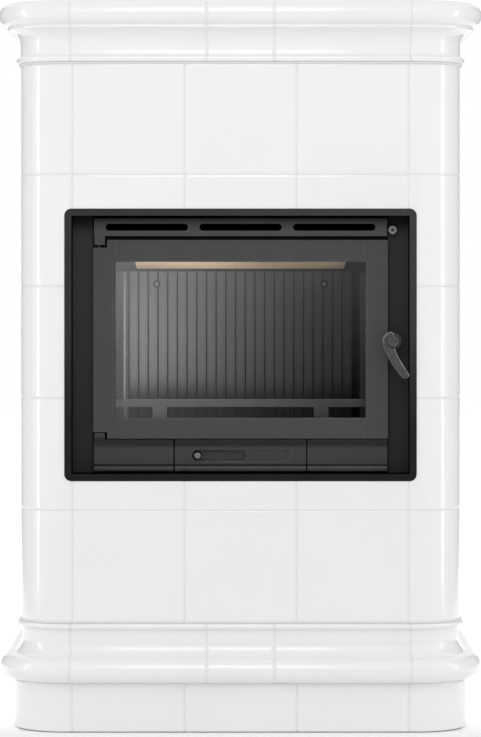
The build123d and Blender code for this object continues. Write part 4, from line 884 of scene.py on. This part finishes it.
def tube_faces(count, rows, laddered=False):
    """Faces of a closed profile carried through so many places, with one face for each cap.

    A laddered cap is a column of faces between the first half of the rows and the second.
    """
    faces = wound(count, rows)
    for base, order in ((0, 1), ((count - 1) * rows, -1)):
        cap = [tuple(range(base, base + rows))]
        if laddered:
            last = base + rows - 1
            cap = [(base + j, base + j + 1, last - j - 1, last - j) for j in range(rows // 2 - 1)]
        faces += [face[::order] for face in cap]
    return faces


def gathered(parts):
    """The points and faces of several parts as one list of points and one of faces."""
    points, faces = [], []
    for more, more_faces in parts:
        faces += [tuple(i + len(points) for i in face) for face in more_faces]
        points += more
    return points, faces


def glazed_length(section, start, end, opening=None):
    """A section carried along the line as a closed solid, lowered at its ends and sides."""
    outward = section_directions(section)
    steps = np.linalg.norm(np.diff(section, axis=0), axis=1)
    lengths = np.concatenate([[0], np.cumsum(steps)])
    side_rim = rim_share(np.minimum(lengths, lengths[-1] - lengths))
    runs = stations(start, end)
    points, rims = [], []
    for run in runs:
        end_rim = float(rim_share(min(run - start, end - run)))
        fall = (side_rim ** 2 + end_rim ** 2) * TILE_DROP
        line = section - outward * fall[:, None]
        behind = line[::-1] if opening else line[[-1, 0]]
        behind = np.column_stack([np.full(len(behind), -TILE_DEPTH), behind[:, 1]])
        for offset, z in [*line, *behind]:
            points.append(off_line(clear_of_opening(run, z, opening), offset, z))
        rims += [*np.maximum(side_rim, end_rim), *np.ones(len(behind))]
    return points, tube_faces(len(runs), len(points) // len(runs), bool(opening)), rims


def glazed_mesh(section, run_spans, opening=None):
    """Several lengths with one section, as one mesh."""
    lengths = [glazed_length(section, *ends, opening) for ends in run_spans]
    mesh = mesh_of(*gathered([length[:2] for length in lengths]))
    rims = [rim for length in lengths for rim in length[2]]
    mesh.attributes.new("rim", "FLOAT", "POINT").data.foreach_set("value", rims)
    with opened(mesh) as build:
        bmesh.ops.remove_doubles(build, verts=build.verts, dist=1e-6)
        bmesh.ops.dissolve_degenerate(build, edges=build.edges, dist=1e-7)
    return mesh


# %% Joints along the line
def between(joints):
    """Lengths between neighbouring joints, each short of them by half a joint."""
    return [(a + JOINT / 2, b - JOINT / 2) for a, b in zip(joints[:-1], joints[1:])]


def both(spans):
    return spans + [(-b, -a) for a, b in spans]


line_end = run_at_depth(back_y - face_y) + JOINT / 2
corner_joint = 1.5 * PITCH
field_side_joint = run_at_depth(back_y - face_y - 2 * PITCH)
field_sides = [field_side_joint, field_side_joint + PITCH, line_end]
field_fronts = [-corner_joint, -0.5 * PITCH, 0.5 * PITCH, corner_joint]
moulding_centre = 67 * MM
moulding_length = 270 * MM
moulding_edge = moulding_centre + moulding_length
moulding_fronts = [-moulding_edge, -moulding_centre, moulding_centre, moulding_edge]
moulding_corner = run_at_depth(half_width - moulding_edge)
moulding_sides = [moulding_corner, moulding_corner + moulding_length, line_end]
print("side joints at", [round(j, 3) for j in moulding_sides])

# %% Corner tiles, plinth, base moulding and cornice
OPENING_GAP = 0.2 * MM
ROW_GAP = 0.05 * MM
half_open, open_low, open_top = opening = (
    338.8 * MM, low_front[1] + OPENING_GAP, high_front[0] - OPENING_GAP)


def course_section(low, top):
    """Flat section with rows crowded near its edges and at the ends of the opening."""
    rows = {low, top, *np.linspace(low, top, 16)[1:-1]}
    for near in RIM_STEPS:
        rows |= {low + near, top - near}
    for level in (open_low, open_top):
        rows |= {row for row in (level - ROW_GAP, level + ROW_GAP) if low < row < top}
    return np.array([(0.0, row) for row in sorted(rows)])


courses = []
for course in range(5):
    low = field_low + course * PITCH + JOINT / 2
    section = course_section(low, low + PITCH - JOINT)
    courses.append(glazed_mesh(section, both(between([corner_joint, field_side_joint])), opening))
new_piece("glazed_corners", joined(courses), GLAZE, ["corner_tiles"])

foot_x = plinth_out - FOOT_SETBACK
plinth_foot = [(foot_x, 0.0), (foot_x, FOOT_GAP)]
plinth_foot += arc((plinth_out - FOOT_ROUND, FOOT_GAP + FOOT_ROUND), FOOT_ROUND, -90, 0, 8)
plinth = softened_section(plinth_foot + [(plinth_out, plinth_top)], 0.2 * MM)
base = softened_section(base_section())
cornice = softened_section(cornice_section())
runs = {
    "front": (field_fronts, moulding_fronts),
    "corners": ([corner_joint, field_side_joint], [moulding_edge, moulding_corner]),
    "sides": (field_sides, moulding_sides),
}
for part, (tile_joints, own_joints) in runs.items():
    for label, section, joints in (("plinth", plinth, tile_joints),
                                   ("base_moulding", base, own_joints),
                                   ("cornice", cornice, own_joints)):
        lengths = between(joints) if part == "front" else both(between(joints))
        new_piece(f"glazed_{label}_{part}", glazed_mesh(section, lengths), GLAZE,
                  [f"{label}_{part}"])


# %% [markdown]
# ## Grout
#
# The joints are filled almost flush, so from a few steps away they are only slightly greyer
# than the glaze. Each upright joint is a narrow strip that follows the section of the pieces
# it parts, and each level joint is a strip carried round the casing. Both are a little wider
# than the joint, so that their edges hide inside the tiles.


# %% Grout strips
STRIP_HALF = 1.6 * MM
STRIP_BACK = 12 * MM
GROUT_DEPTH = 0.95 * MM
LEVEL_DEPTH = GROUT_DEPTH + 0.12 * MM
FOOT_OFFSET = 1.8 * MM
HEAD_OFFSET = 4.4 * MM
PLINTH_DEPTH = 0.5 * MM


def swept_strip(profile, runs):
    """Points and faces of a closed profile carried through these places on the line."""
    points = [off_line(run, offset, z) for run in runs for offset, z in profile]
    return points, tube_faces(len(runs), len(profile))


def level_strip(z, offset, start, end):
    """Closed strip of grout in a level joint, along the line from start to end."""
    profile = [(offset - STRIP_BACK, z - STRIP_HALF), (offset, z - STRIP_HALF),
               (offset, z + STRIP_HALF), (offset - STRIP_BACK, z + STRIP_HALF)]
    return swept_strip(profile, stations(start, end))


def upright_strip(section, run):
    """Closed strip of grout in an upright joint, sunk below the section of its neighbours."""
    front = section - section_directions(section) * GROUT_DEPTH
    profile = [(-STRIP_BACK, front[0][1]), *map(tuple, front), (-STRIP_BACK, front[-1][1])]
    return swept_strip(profile, [run - STRIP_HALF, run + STRIP_HALF])


# %% All the joints
strips = []
own_joints, tile_joints = ([*fronts, *sides[:-1], *(-joint for joint in sides[:-1])]
                           for fronts, sides in ((moulding_fronts, moulding_sides),
                                                 (field_fronts, field_sides)))
for section, joints in ((plinth, tile_joints), (base, own_joints), (cornice, own_joints)):
    strips += [upright_strip(section, joint) for joint in joints]
for joint in tile_joints:
    spans = [(field_low, field_top)]
    if abs(joint) < half_open:
        spans = [(field_low, open_low), (open_top, field_top)]
    strips += [upright_strip(np.array([(0.0, z) for z in ends]), joint) for ends in spans]
far_end = line_end - JOINT / 2
for z in (field_low + course * PITCH for course in range(1, 5)):
    whole = [(-far_end, far_end)]
    spans = both([(half_open, far_end)]) if open_low < z < open_top else whole
    strips += [level_strip(z, -LEVEL_DEPTH, *ends) for ends in spans]
for z, offset in ((field_low, FOOT_OFFSET), (field_top, HEAD_OFFSET),
                  (plinth_top + JOINT / 2, plinth_out - PLINTH_DEPTH)):
    strips.append(level_strip(z, offset, -far_end, far_end))
new_piece("grout_lines", facing_out(mesh_of(*gathered(strips))), GROUT, ["joint_grout"])


# %% [markdown]
# ## Iron with broken edges
#
# The CAD solids of the door, the sill and the grille have the right shape, but a casting is
# never razor-sharp. A copy of each is merged and its edges are rounded by a fraction of a
# millimetre, which is what catches the light along them. The rounded faces are marked, and
# their finishes paint them paler: partly rubbing, partly painted highlight.


# %% Rounded copies of castings and sheet
def is_sharp(edge, least_angle=30):
    return len(edge.link_faces) == 2 and edge.calc_face_angle(0) > math.radians(least_angle)


def evenly_shaded(mesh):
    """The mesh with normals weighted by face area, so that flat faces shade as flat."""
    mesh.shade_smooth()
    mesh.set_sharp_from_angle(angle=math.radians(70))
    host = in_scene("host", mesh)
    weights = host.modifiers.new("weights", "WEIGHTED_NORMAL")
    weights.mode = "FACE_AREA"
    weights.weight = 80
    weights.keep_sharp = True
    return outcome(host)


def with_soft_edges(node, radius, finish=None, name=None):
    """A piece with the CAD node's shape and finish; edges rounded, marked for rubbing and painted
    highlight.
    """
    source = frame["nodes"][node].data
    mesh = source.copy()
    with opened(mesh) as build:
        bmesh.ops.remove_doubles(build, verts=build.verts, dist=2e-6)
        bmesh.ops.dissolve_limit(build, angle_limit=math.radians(0.5), verts=build.verts,
                                 edges=build.edges)
        # Marked faces are painted paler: partly rubbing, partly painted highlight.
        wear_and_highlight = build.faces.layers.float.new("wear_and_highlight")
        sharp = [edge for edge in build.edges if is_sharp(edge)]
        rounded = bmesh.ops.bevel(build, geom=sharp, offset=radius, segments=2, profile=0.5,
                                  affect="EDGES", clamp_overlap=True)
        for face in rounded["faces"]:
            face[wear_and_highlight] = 1.0
    return new_piece(name or f"soft_{node}", evenly_shaded(mesh), finish or source.materials[0],
                     [node], crease=None)


with_soft_edges("door_frame", 1.1 * MM, DOOR_IRON, "door_casting")
with_soft_edges("air_grille", 0.8 * MM, SILL_IRON, "grille_casting")
with_soft_edges("sill_panel_left", 0.5 * MM, SILL_SKIN, "sill_casting_left")
with_soft_edges("sill_panel_right", 0.5 * MM, SILL_SKIN, "sill_casting_right")
with_soft_edges("ash_drawer_front", 0.5 * MM, SILL_SKIN, "drawer_casting")
with_soft_edges("log_guard", 0.9 * MM, GUARD_IRON, "guard_casting")

# %% Sheet and plates
RAIL_REACH = 217.5 * MM
SHEET_ROUND = 0.3 * MM


def drawn_back(node, reach):
    """The node's mesh with its inner edges moved out to this distance from the middle."""
    mesh = frame["nodes"][node].data.copy()
    inner = min(abs(vertex.co.x) for vertex in mesh.vertices)
    for vertex in mesh.vertices:
        if abs(vertex.co.x) < inner + 2 * MM:
            vertex.co.x = math.copysign(reach, vertex.co.x)
    return mesh


def refaced(piece, finish, chosen):
    """Gives the chosen faces of a piece another finish."""
    piece.data.materials.append(finish)
    count = 0
    for face in piece.data.polygons:
        face.material_index = int(chosen(face))
        count += face.material_index
    print(count, "faces of", piece.name, "in", finish.name)


new_piece("rail_strips", drawn_back("baffle_rails", RAIL_REACH), SHADED, ["baffle_rails"])
sheets = {node: with_soft_edges(node, SHEET_ROUND)
          for node in ("flue_pipe", "flue_collar", "top_cover", "rear_panel", "infill_left",
                       "infill_right", "baffle_plate")}
# The inner faces of the rear panel take the paler flat black as painted shade.
refaced(sheets["rear_panel"], PLATE, lambda face: face.normal.y < -0.5)


# %% [markdown]
# ## The surround
#
# The black frame round the opening is pressed from one sheet: a narrow face that falls away
# slightly to the outside, a rounded outer edge that meets the tiles, and a return that runs
# back into the opening. A section carried round a rounded rectangle makes it in one pass. The
# slight fall and painted light in its coat give each side its own tone, and the return is
# painted shade.


# %% A section carried round a rectangle
FALL = 2.3 * MM
LIP = 0.8 * MM
SURROUND_FACE = 14.2 * MM
SURROUND_CORNER = 14 * MM
SURROUND_SHEET = 2 * MM
SURROUND_INSET = 0.4 * MM


def rounded_corners(half_x, low, top, inset, radius, count=10):
    """Outline of a rectangle drawn in by an inset, corners first, with its seam at the left."""
    points = []
    bend = max(radius - inset, 0.05 * MM)
    x, z0, z1 = half_x - inset - bend, low + inset + bend, top - inset - bend
    for centre, start in (((x, z0), -90), ((x, z1), 0), ((-x, z1), 90), ((-x, z0), 180)):
        points += arc(centre, bend, start, start + 90, count)
    return points


def frame_section(face_width, proud, depth):
    """(inset, depth) points from the outer edge over the face to the end of the return."""
    start = FALL - proud
    edge = [(0.0, start * 0.3), (0.15 * MM, start * 0.7), (0.7 * MM, start - 0.02 * MM)]
    fall = FALL / (face_width - LIP)
    face = [(share * face_width, start - fall * share * face_width) for share in (0.3, 0.6)]
    face.append((face_width - LIP - 0.3 * MM, -proud + 0.04 * MM))
    lip = arc((face_width - LIP, LIP - proud), LIP, 275, 360, 6)
    back = [(face_width, depth), (face_width - SURROUND_SHEET, depth),
            (face_width - SURROUND_SHEET, SURROUND_SHEET - proud),
            (SURROUND_INSET, SURROUND_SHEET - proud)]
    return [(0.0, 0.0)] + edge + face + lip + back + [(SURROUND_INSET, 0.0)]


def surround_mesh():
    (_, front, low), (half, back, top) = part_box("surround_frame")
    section = frame_section(SURROUND_FACE, face_y - front, back - face_y)
    points = []
    for inset, depth in section:
        outline = rounded_corners(half, low, top, inset, SURROUND_CORNER)
        points += [(x, face_y + depth, z) for x, z in outline]
    rows = len(points) // len(section)
    faces = [tuple(i % len(points) for i in face) for face in wound(len(section) + 1, rows)]
    return facing_out(mesh_of(points, faces))


surround = new_piece("surround", surround_mesh(), COAT, ["surround_frame"])
# The return and the faces behind the front take the flat black as painted shade.
refaced(surround, SHADED, lambda face: face.center.y > face_y + 0.5 * MM)


# %% [markdown]
# ## Turned parts
#
# The hub of the handle, the damper knob, the knob of the air slide, the liner bolts and their
# washers are turned parts. Each is half a section spun round its axis.


# %% Spinning a section
def turned(section, centre, steps=64):
    """A closed part turned round an axis along Y; the section is (radius, depth)."""
    points = []
    for radius, depth in section:
        for step in range(steps):
            angle = 2 * math.pi * step / steps
            points.append((centre[0] + radius * math.cos(angle), centre[1] + depth,
                           centre[2] + radius * math.sin(angle)))
    return welded(mesh_of(points, wound(len(section), steps)))


def rounded_end(radius, front, rounding, dish=0.0, dish_radius=0.0):
    """Section from the axis over a rounded rim, with a shallow dish in the middle."""
    points = [(0.0, front + dish)]
    if dish:
        points += [(dish_radius * 0.95, front + dish), (dish_radius, front + dish * 0.15)]
    points += [(radius - rounding - 0.1 * MM, front)]
    return points + [(radius - rounding + rounding * math.sin(a),
                      front + rounding - rounding * math.cos(a))
                     for a in np.linspace(0.1, math.pi / 2, 8)]


def mark_rims(mesh, low=0.3, high=0.85):
    """Marks the round between front and sides for rubbing and painted highlight, most on its upper
    side.
    """
    with opened(mesh) as build:
        build.normal_update()
        wear_and_highlight = build.faces.layers.float.new("wear_and_highlight")
        for face in build.faces:
            # Upward faces get more: a painted highlight, as if lit from above.
            upper_highlight = max(0.25, min(1.0, 0.65 + 1.2 * face.normal.z))
            face[wear_and_highlight] = upper_highlight if low < -face.normal.y < high else 0.0
    return mesh


def round_node(node):
    """Axis, radius, front and back of a round CAD node whose axis runs along Y."""
    low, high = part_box(node)
    axis = Vector(((low[0] + high[0]) / 2, 0, (low[2] + high[2]) / 2))
    return axis, (high[0] - low[0]) / 2, low[1], high[1]


def from_axis(face, axis):
    return math.hypot(face.center.x - axis.x, face.center.z - axis.z)


def knob_piece(name, node, section, axis, finish, ring, ring_finish, crease=40):
    """A turned piece with marked rims and a darker finish, as painted shade, between two radii."""
    piece = new_piece(name, mark_rims(turned(section, axis)), finish, [node], crease)
    refaced(piece, ring_finish, lambda face: ring[0] < from_axis(face, axis) < ring[1])


# %% Hub of the handle
HUB_BACK = 2 * MM
SHANK = 6 * MM
HUB_RING = 1.1 * MM
HUB_GROOVE = 2.4 * MM
RING_EDGE = 0.1 * MM
blade_low, blade_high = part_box("handle")
pivot, radius, front, back = round_node("handle_spindle")
inner = radius - HUB_RING
hub = rounded_end(inner, front, 1.1 * MM)
hub += [(inner, front + HUB_GROOVE), (radius, front + HUB_GROOVE),
        (radius, blade_low[1] + HUB_BACK), (SHANK, blade_low[1] + HUB_BACK),
        (SHANK, back), (0.0, back)]
# The groove round the hub takes the flat black as painted shade.
knob_piece("handle_hub", "handle_spindle", hub, pivot, HANDLE_IRON,
           (inner + RING_EDGE, radius + MM), SHADED, 50)

# %% [markdown]
# ## The handle's blade
#
# The comma-shaped blade is a rough casting with a generous round all along its edge. A flat
# curve gives that directly: its bevel makes the round and its extrusion the thickness.


# %% Blade from a flat curve
BLADE_ROUND = 3.4 * MM
BLADE_THICKNESS = 14 * MM
COLLAR_RADIUS = 10 * MM
COLLAR_FRONT = 6 * MM


def smooth_through(points, count=16):
    """Points on a smooth line through these (Catmull-Rom)."""
    pts = [np.array(p, dtype=float) for p in points]
    pts = [2 * pts[0] - pts[1]] + pts + [2 * pts[-1] - pts[-2]]
    line = []
    for i in range(1, len(pts) - 2):
        for t in np.linspace(0, 1, count, endpoint=False):
            a, b, c, d = pts[i - 1:i + 3]
            line.append(0.5 * (2 * b + (c - a) * t + (2 * a - 5 * b + 4 * c - d) * t ** 2
                               + (3 * b - a - 3 * c + d) * t ** 3))
    return line


def blade_outline():
    """The comma in shares of its drop below the pivot, one smooth run after another."""
    drop = pivot.z - blade_low[2]
    back = [(-0.048, 0.28), (-0.15, 0.255), (-0.25, 0.16), (-0.305, 0.027), (-0.27, -0.14),
            (-0.186, -0.33), (-0.022, -0.655), (0.145, -0.875), (0.235, -0.975)]
    end = [(0.235, -0.975), (0.285, -1.0), (0.345, -1.003), (0.4, -0.975), (0.435, -0.928),
           (0.426, -0.88)]
    front = [(0.426, -0.88), (0.32, -0.728), (0.222, -0.558), (0.112, -0.372), (0.034, -0.164)]
    root = [(0.034, -0.164), (0.034, 0.14), (-0.048, 0.28)]
    line = smooth_through(back) + smooth_through(end, 6) + smooth_through(front)
    return [(x * drop, z * drop) for x, z in line + smooth_through(root, 4)]


def blade_mesh(front):
    curve = bpy.data.curves.new("blade", "CURVE")
    curve.dimensions = "2D"
    curve.fill_mode = "BOTH"
    curve.bevel_depth = BLADE_ROUND
    curve.bevel_resolution = 5
    curve.offset = -BLADE_ROUND
    curve.extrude = BLADE_THICKNESS / 2 - BLADE_ROUND
    spline = curve.splines.new("POLY")
    outline = blade_outline()
    spline.points.add(len(outline) - 1)
    for point, (x, z) in zip(spline.points, outline):
        point.co = (x, z, 0, 1)
    spline.use_cyclic_u = True
    mesh = outcome(in_scene("blade", curve))
    middle = Vector((pivot.x, front + BLADE_THICKNESS / 2, pivot.z))
    mesh.transform(Matrix.Translation(middle) @ Matrix.Rotation(math.pi / 2, 4, "X"))
    return welded(mesh)


front, back = blade_low[1], blade_high[1]
collar = turned([(0.0, front + COLLAR_FRONT), (COLLAR_RADIUS, front + COLLAR_FRONT),
                 (COLLAR_RADIUS, back), (0.0, back)], pivot)
blade = mark_rims(joined([blade_mesh(front), collar]))
new_piece("handle_blade", blade, HANDLE_IRON, ["handle"], 50)

# %% Damper knob
DISH_RADIUS = 3.1 * MM
DISH_FACE = 2.9 * MM
axis, radius, front, back = round_node("damper_knob")
knob = rounded_end(radius, front, 1.3 * MM, 3.2 * MM, DISH_RADIUS)
knob += [(radius, back), (0.0, back)]
# The socket takes the darker blued steel as painted shade.
knob_piece("damper_button", "damper_knob", knob, axis, KNOB_STEEL, (-1.0, DISH_FACE), STEEL)

# %% Knob of the air slide
BUTTON_RING = 1.8 * MM
axis, radius, front, back = round_node("air_knob")
inner = radius - BUTTON_RING
groove_y = front + (back - front) * 0.5
button = rounded_end(inner, front, 0.8 * MM)
button += [(inner, groove_y), (radius, groove_y), (radius, back), (0.0, back)]
# The groove round the button takes the flat black as painted shade.
knob_piece("air_button", "air_knob", button, axis, KNOB_STEEL,
           (inner + RING_EDGE, radius + MM), SHADED)


# %% [markdown]
# ## The ribbed back liner
#
# The back of the firebox is a cast plate of narrow upright boards with a groove between each
# pair. Geometry Nodes draws one board as a grid, sinks its grooves by its distance from the
# edge, sets the boards out along a line, welds them into one plate and gives it thickness.


# %% One board, set out along a line
BOARD_INPUTS = {
    "Float": ("Pitch", "Height", "Groove", "Groove depth", "Bead", "Thickness"),
    "Int": ("Count",),
    "Material": ("Iron",),
}
BOARD_POINTS = 81
BEAD_SHARE = 0.16


def board_tree():
    net, value = new_tree("Ribbed boards", BOARD_INPUTS)
    pitch = value["Pitch"]
    grid = net.add("GeometryNodeMeshGrid",
                   inputs={0: pitch, 1: value["Height"], 2: BOARD_POINTS, 3: 2})
    across, up = grid_places(net)
    to_edge = pitch * 0.5 - net.size(across)
    groove = 1 - net.smooth(to_edge, value["Groove"] * 0.5, value["Groove"])
    bead = 1 - net.smooth(net.size(to_edge - pitch * 0.25), 0.0, value["Bead"])
    depth = (groove + bead * BEAD_SHARE) * value["Groove depth"]
    board = moulded(net, grid, "groove", groove, net.vector(X=across, Y=depth, Z=up))
    line = net.add("GeometryNodeMeshLine", {"mode": "OFFSET"},
                   {"Count": value["Count"], "Offset": net.vector(X=pitch),
                    "Start Location": net.vector(X=(value["Count"] - 1) * pitch * -0.5)})
    boards = net.add("GeometryNodeMergeByDistance",
                     inputs={"Geometry": set_out(net, line, board), "Distance": 1e-5})
    return close_tree(net, with_sides(net, boards, value["Thickness"]), value["Iron"])


# %% Back liner
BOARD_WIDTH = 20.7 * MM
GROOVE_DEPTH = 5 * MM
liner_low, liner_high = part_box("back_liner")
liner_width, liner_depth, liner_height = (high - low for low, high in zip(liner_low, liner_high))
board_count = round(liner_width / BOARD_WIDTH)
board_sizes = {
    "Pitch": liner_width / board_count, "Height": liner_height, "Count": board_count,
    "Groove": 1.7 * MM, "Groove depth": GROOVE_DEPTH, "Bead": 0.7 * MM,
    "Thickness": liner_depth - GROOVE_DEPTH, "Iron": LINER_IRON,
}
liner = grown(board_tree(), board_sizes)
liner.transform(Matrix.Translation(Vector((0, liner_low[1], liner_low[2] + liner_height / 2))))
new_piece("ribbed_liner", facing_out(liner), LINER_IRON, ["back_liner"], 50)
print("boards:", board_count)

# %% Its bolts and their washers, in millimetres
BOLT_SECTION = [(0.0, 1.6), (1.6, 1.6), (1.9, 0.2), (3.9, 0.0), (4.5, 0.5), (4.7, 2.4), (0.0, 2.4)]
WASHER_SECTION = [(4.7, 1.5), (7.2, 1.5), (7.5, 1.9), (7.5, 2.6), (4.7, 2.6), (4.7, 1.5)]
bolt_low, bolt_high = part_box("liner_bolts")
bolt_x = bolt_high[0] - (bolt_high[2] - bolt_low[2]) / 2
bolt_z = (bolt_low[2] + bolt_high[2]) / 2
for name, section, finish in (("liner_screws", BOLT_SECTION, SCREW_STEEL),
                              ("liner_washers", WASHER_SECTION, SHADED)):
    profile = [(radius * MM, depth * MM) for radius, depth in section]
    pair = [turned(profile, (side * bolt_x, bolt_low[1], bolt_z), 32) for side in (-1, 1)]
    new_piece(name, joined(pair), finish, ["liner_bolts"], 40)


# %% [markdown]
# ## The studio
#
# White ware is photographed with white walls, a softbox over the camera for the long
# highlights on the mouldings, a strip at each side for the lines on the corners, and dark
# flags at the sides, so that the outline stands off the white ground. A flat beam and two
# small strips inside the firebox stand for the light that a real room sends in by the window.


# %% Camera
CAMERA_GAP = 6.3
HORIZON = 0.9188
FOCAL_PIXELS = 3181.5
IMAGE_HEIGHT = 737
HORIZON_ROW = 268
SENSOR = 36
camera = in_scene("camera", bpy.data.cameras.new("camera"))
camera.location = (0, face_y - CAMERA_GAP, HORIZON)
camera.rotation_euler = (math.pi / 2, 0, 0)
camera.data.sensor_width = SENSOR
camera.data.lens = FOCAL_PIXELS * SENSOR / IMAGE_HEIGHT
camera.data.shift_y = (HORIZON_ROW - IMAGE_HEIGHT / 2) / IMAGE_HEIGHT
bpy.context.scene.camera = camera
print("lens", round(camera.data.lens, 1), "mm, shift", round(camera.data.shift_y, 4))


# %% World and floor
AMBIENT = 0.765
NEAR_GLOW = 0.06
FAR_GLOW = 0.5
GLOW_RISE = (-0.3, 0.05)
FLOOR_REACH = 14
SQUARE = [(0, 1, 2, 3)]


def seen_by(net, *rays):
    """1 for these kinds of ray, 0 for the others."""
    return sum(net.add("ShaderNodeLightPath", output=f"Is {ray} Ray") for ray in rays)


def studio_world():
    world = bpy.data.worlds.new("studio")
    bpy.context.scene.world = world
    world.use_nodes = True
    net = Net(world.node_tree)
    net.tree.nodes.clear()
    seen = net.maths("MINIMUM", seen_by(net, "Camera", "Glossy", "Transmission"), 1.0)
    light = net.add("ShaderNodeBackground", inputs={"Strength": AMBIENT + seen * (1 - AMBIENT),
                                                    "Color": (1, 1, 1, 1)})
    output = net.tree.nodes.new("ShaderNodeOutputWorld")
    net.tree.links.new(light.socket, output.inputs["Surface"])


def panel(name, corners, net, glow):
    """A staged sheet that glows by itself."""
    net.feed(Emission_Color=glow, Emission_Strength=1.0)
    mesh = mesh_of(corners, SQUARE)
    mesh.materials.append(net.material)
    sheet = in_scene(name, mesh)
    sheet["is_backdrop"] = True
    return sheet


def studio_floor():
    net = new_finish("studio_floor")
    across, back = (net.part(net.where, axis) for axis in "XY")
    under = (net.size(across) < half_width) * (back > face_y) * (back < back_y)
    glow = (net.smooth(back, *GLOW_RISE) * FAR_GLOW + NEAR_GLOW) * (1 - under)
    net.feed(Base_Color=(0.95, 0.95, 0.95, 1), Roughness=0.9, Specular_IOR_Level=0.0)
    corners = [(x * FLOOR_REACH, y * FLOOR_REACH, 0)
               for x, y in ((-1, -1), (1, -1), (1, 1), (-1, 1))]
    panel("floor", corners, net, seen_by(net, "Camera", "Glossy") * glow)


studio_world()
studio_floor()


# %% Softboxes
def softbox(name, size, at, toward, strength):
    """A soft area light of this radiance, unseen by the camera."""
    data = bpy.data.lights.new(name, "AREA")
    data.shape = "RECTANGLE"
    data.size, data.size_y = size
    data.energy = strength * math.pi * size[0] * size[1]
    lamp = in_scene(name, data)
    lamp.location = at
    lamp.rotation_euler = (Vector(toward) - Vector(at)).to_track_quat("-Z", "Y").to_euler()
    lamp.visible_camera = False
    return lamp


FRONT_SIZE, FRONT_PLACE, FRONT_AIM = (0.7, 1.5), (-0.05, face_y - 2.42, 2.36), (0, face_y, 1.5)
STRIP_SIZE, STRIP_X, STRIP_GAP, STRIP_AIM = (0.42, 2.2), 2.9, 0.65, 0.4
softbox("front_box", FRONT_SIZE, FRONT_PLACE, FRONT_AIM, 3.55)
for side in (-1, 1):
    softbox("strip", STRIP_SIZE, (side * STRIP_X, face_y - STRIP_GAP, 1.05),
            (side * STRIP_AIM, face_y, 0.9), 3.2)


# %% Lamps for the firebox
BEAM_SLOPE = 0.4
BEAM_LENGTH = 1.3
INNER_X = -0.2
INNER_SIZE = (0.03, 0.26)


def hidden_lamp(name, size, at, toward, energy, spread):
    """A lamp of this power and spread that no gloss shows."""
    lamp = softbox(name, size, at, toward, 1.0)
    lamp.data.energy = energy
    lamp.data.spread = math.radians(spread)
    lamp.visible_glossy = False


baffle_low, baffle_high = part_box("baffle_plate")
target = Vector((0, (baffle_low[1] + baffle_high[1]) / 2, baffle_low[2] + 10 * MM))
source = target - Vector((0, BEAM_LENGTH, BEAM_LENGTH * BEAM_SLOPE))
hidden_lamp("baffle_beam", (0.46, 0.05), source, target, 0.075, 6)
for name, y, z, energy in (("front_strip", baffle_low[1] - 60 * MM, 0.775, 1.0),
                           ("near_strip", liner_low[1] - 110 * MM, 0.74, 0.04)):
    hidden_lamp(name, INNER_SIZE, (INNER_X, y, z), (INNER_X, y + 0.3, z), energy, 120)


# %% Cards that only reflections see
WALL_GAP = 0.6
WALL_HALF = 2.2
WALL_TOP = 1.3
FLAG_X = 2.4
FLAG_TOP = 3
FLAG_GREY = (0.2, 0.2, 0.2, 1)


def card(name, corners, brightness):
    """A glowing or dark panel that shows only in gloss."""
    net = new_finish(name)
    net.feed(Base_Color=(0, 0, 0, 1), Specular_IOR_Level=0.0, Roughness=1.0)
    sheet = panel(name, corners, net, brightness(net))
    sheet.visible_camera = False
    sheet.visible_diffuse = False
    sheet.visible_shadow = False
    sheet.visible_transmission = False


def dim_room(net):
    """The room behind the camera: bright on the left, dark low on the right."""
    across, height = (net.part(net.where, axis) for axis in "XZ")
    fade = net.maths("MAXIMUM", (0.44 - across) / 0.96, 0.0) ** 1.6
    rise = net.maths("MAXIMUM", (height - 0.33) * 2, 0.0) ** 1.3
    return net.maths("MINIMUM", fade, 1.3) * (height * 1.08 + 0.26) * 0.62 + rise * 0.19


def upright(start, end, top):
    """Corners of an upright sheet over the line from start to end."""
    return [(*start, 0), (*end, 0), (*end, top), (*start, top)]


wall_y = face_y - CAMERA_GAP - WALL_GAP
card("room_wall", upright((-WALL_HALF, wall_y), (WALL_HALF, wall_y), WALL_TOP), dim_room)
for x in (-FLAG_X, FLAG_X):
    card("flag", upright((x, face_y + 0.1), (x, face_y + 6), FLAG_TOP), lambda net: FLAG_GREY)

bpy.context.scene.view_settings.view_transform = "Standard"
visual_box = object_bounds()
for axis, letter in enumerate("XYZ"):
    low = visual_box[0][axis] - cad_box[0][axis]
    high = visual_box[1][axis] - cad_box[1][axis]
    print(letter, "differs by", round(low / MM, 2), "and", round(high / MM, 2), "mm")
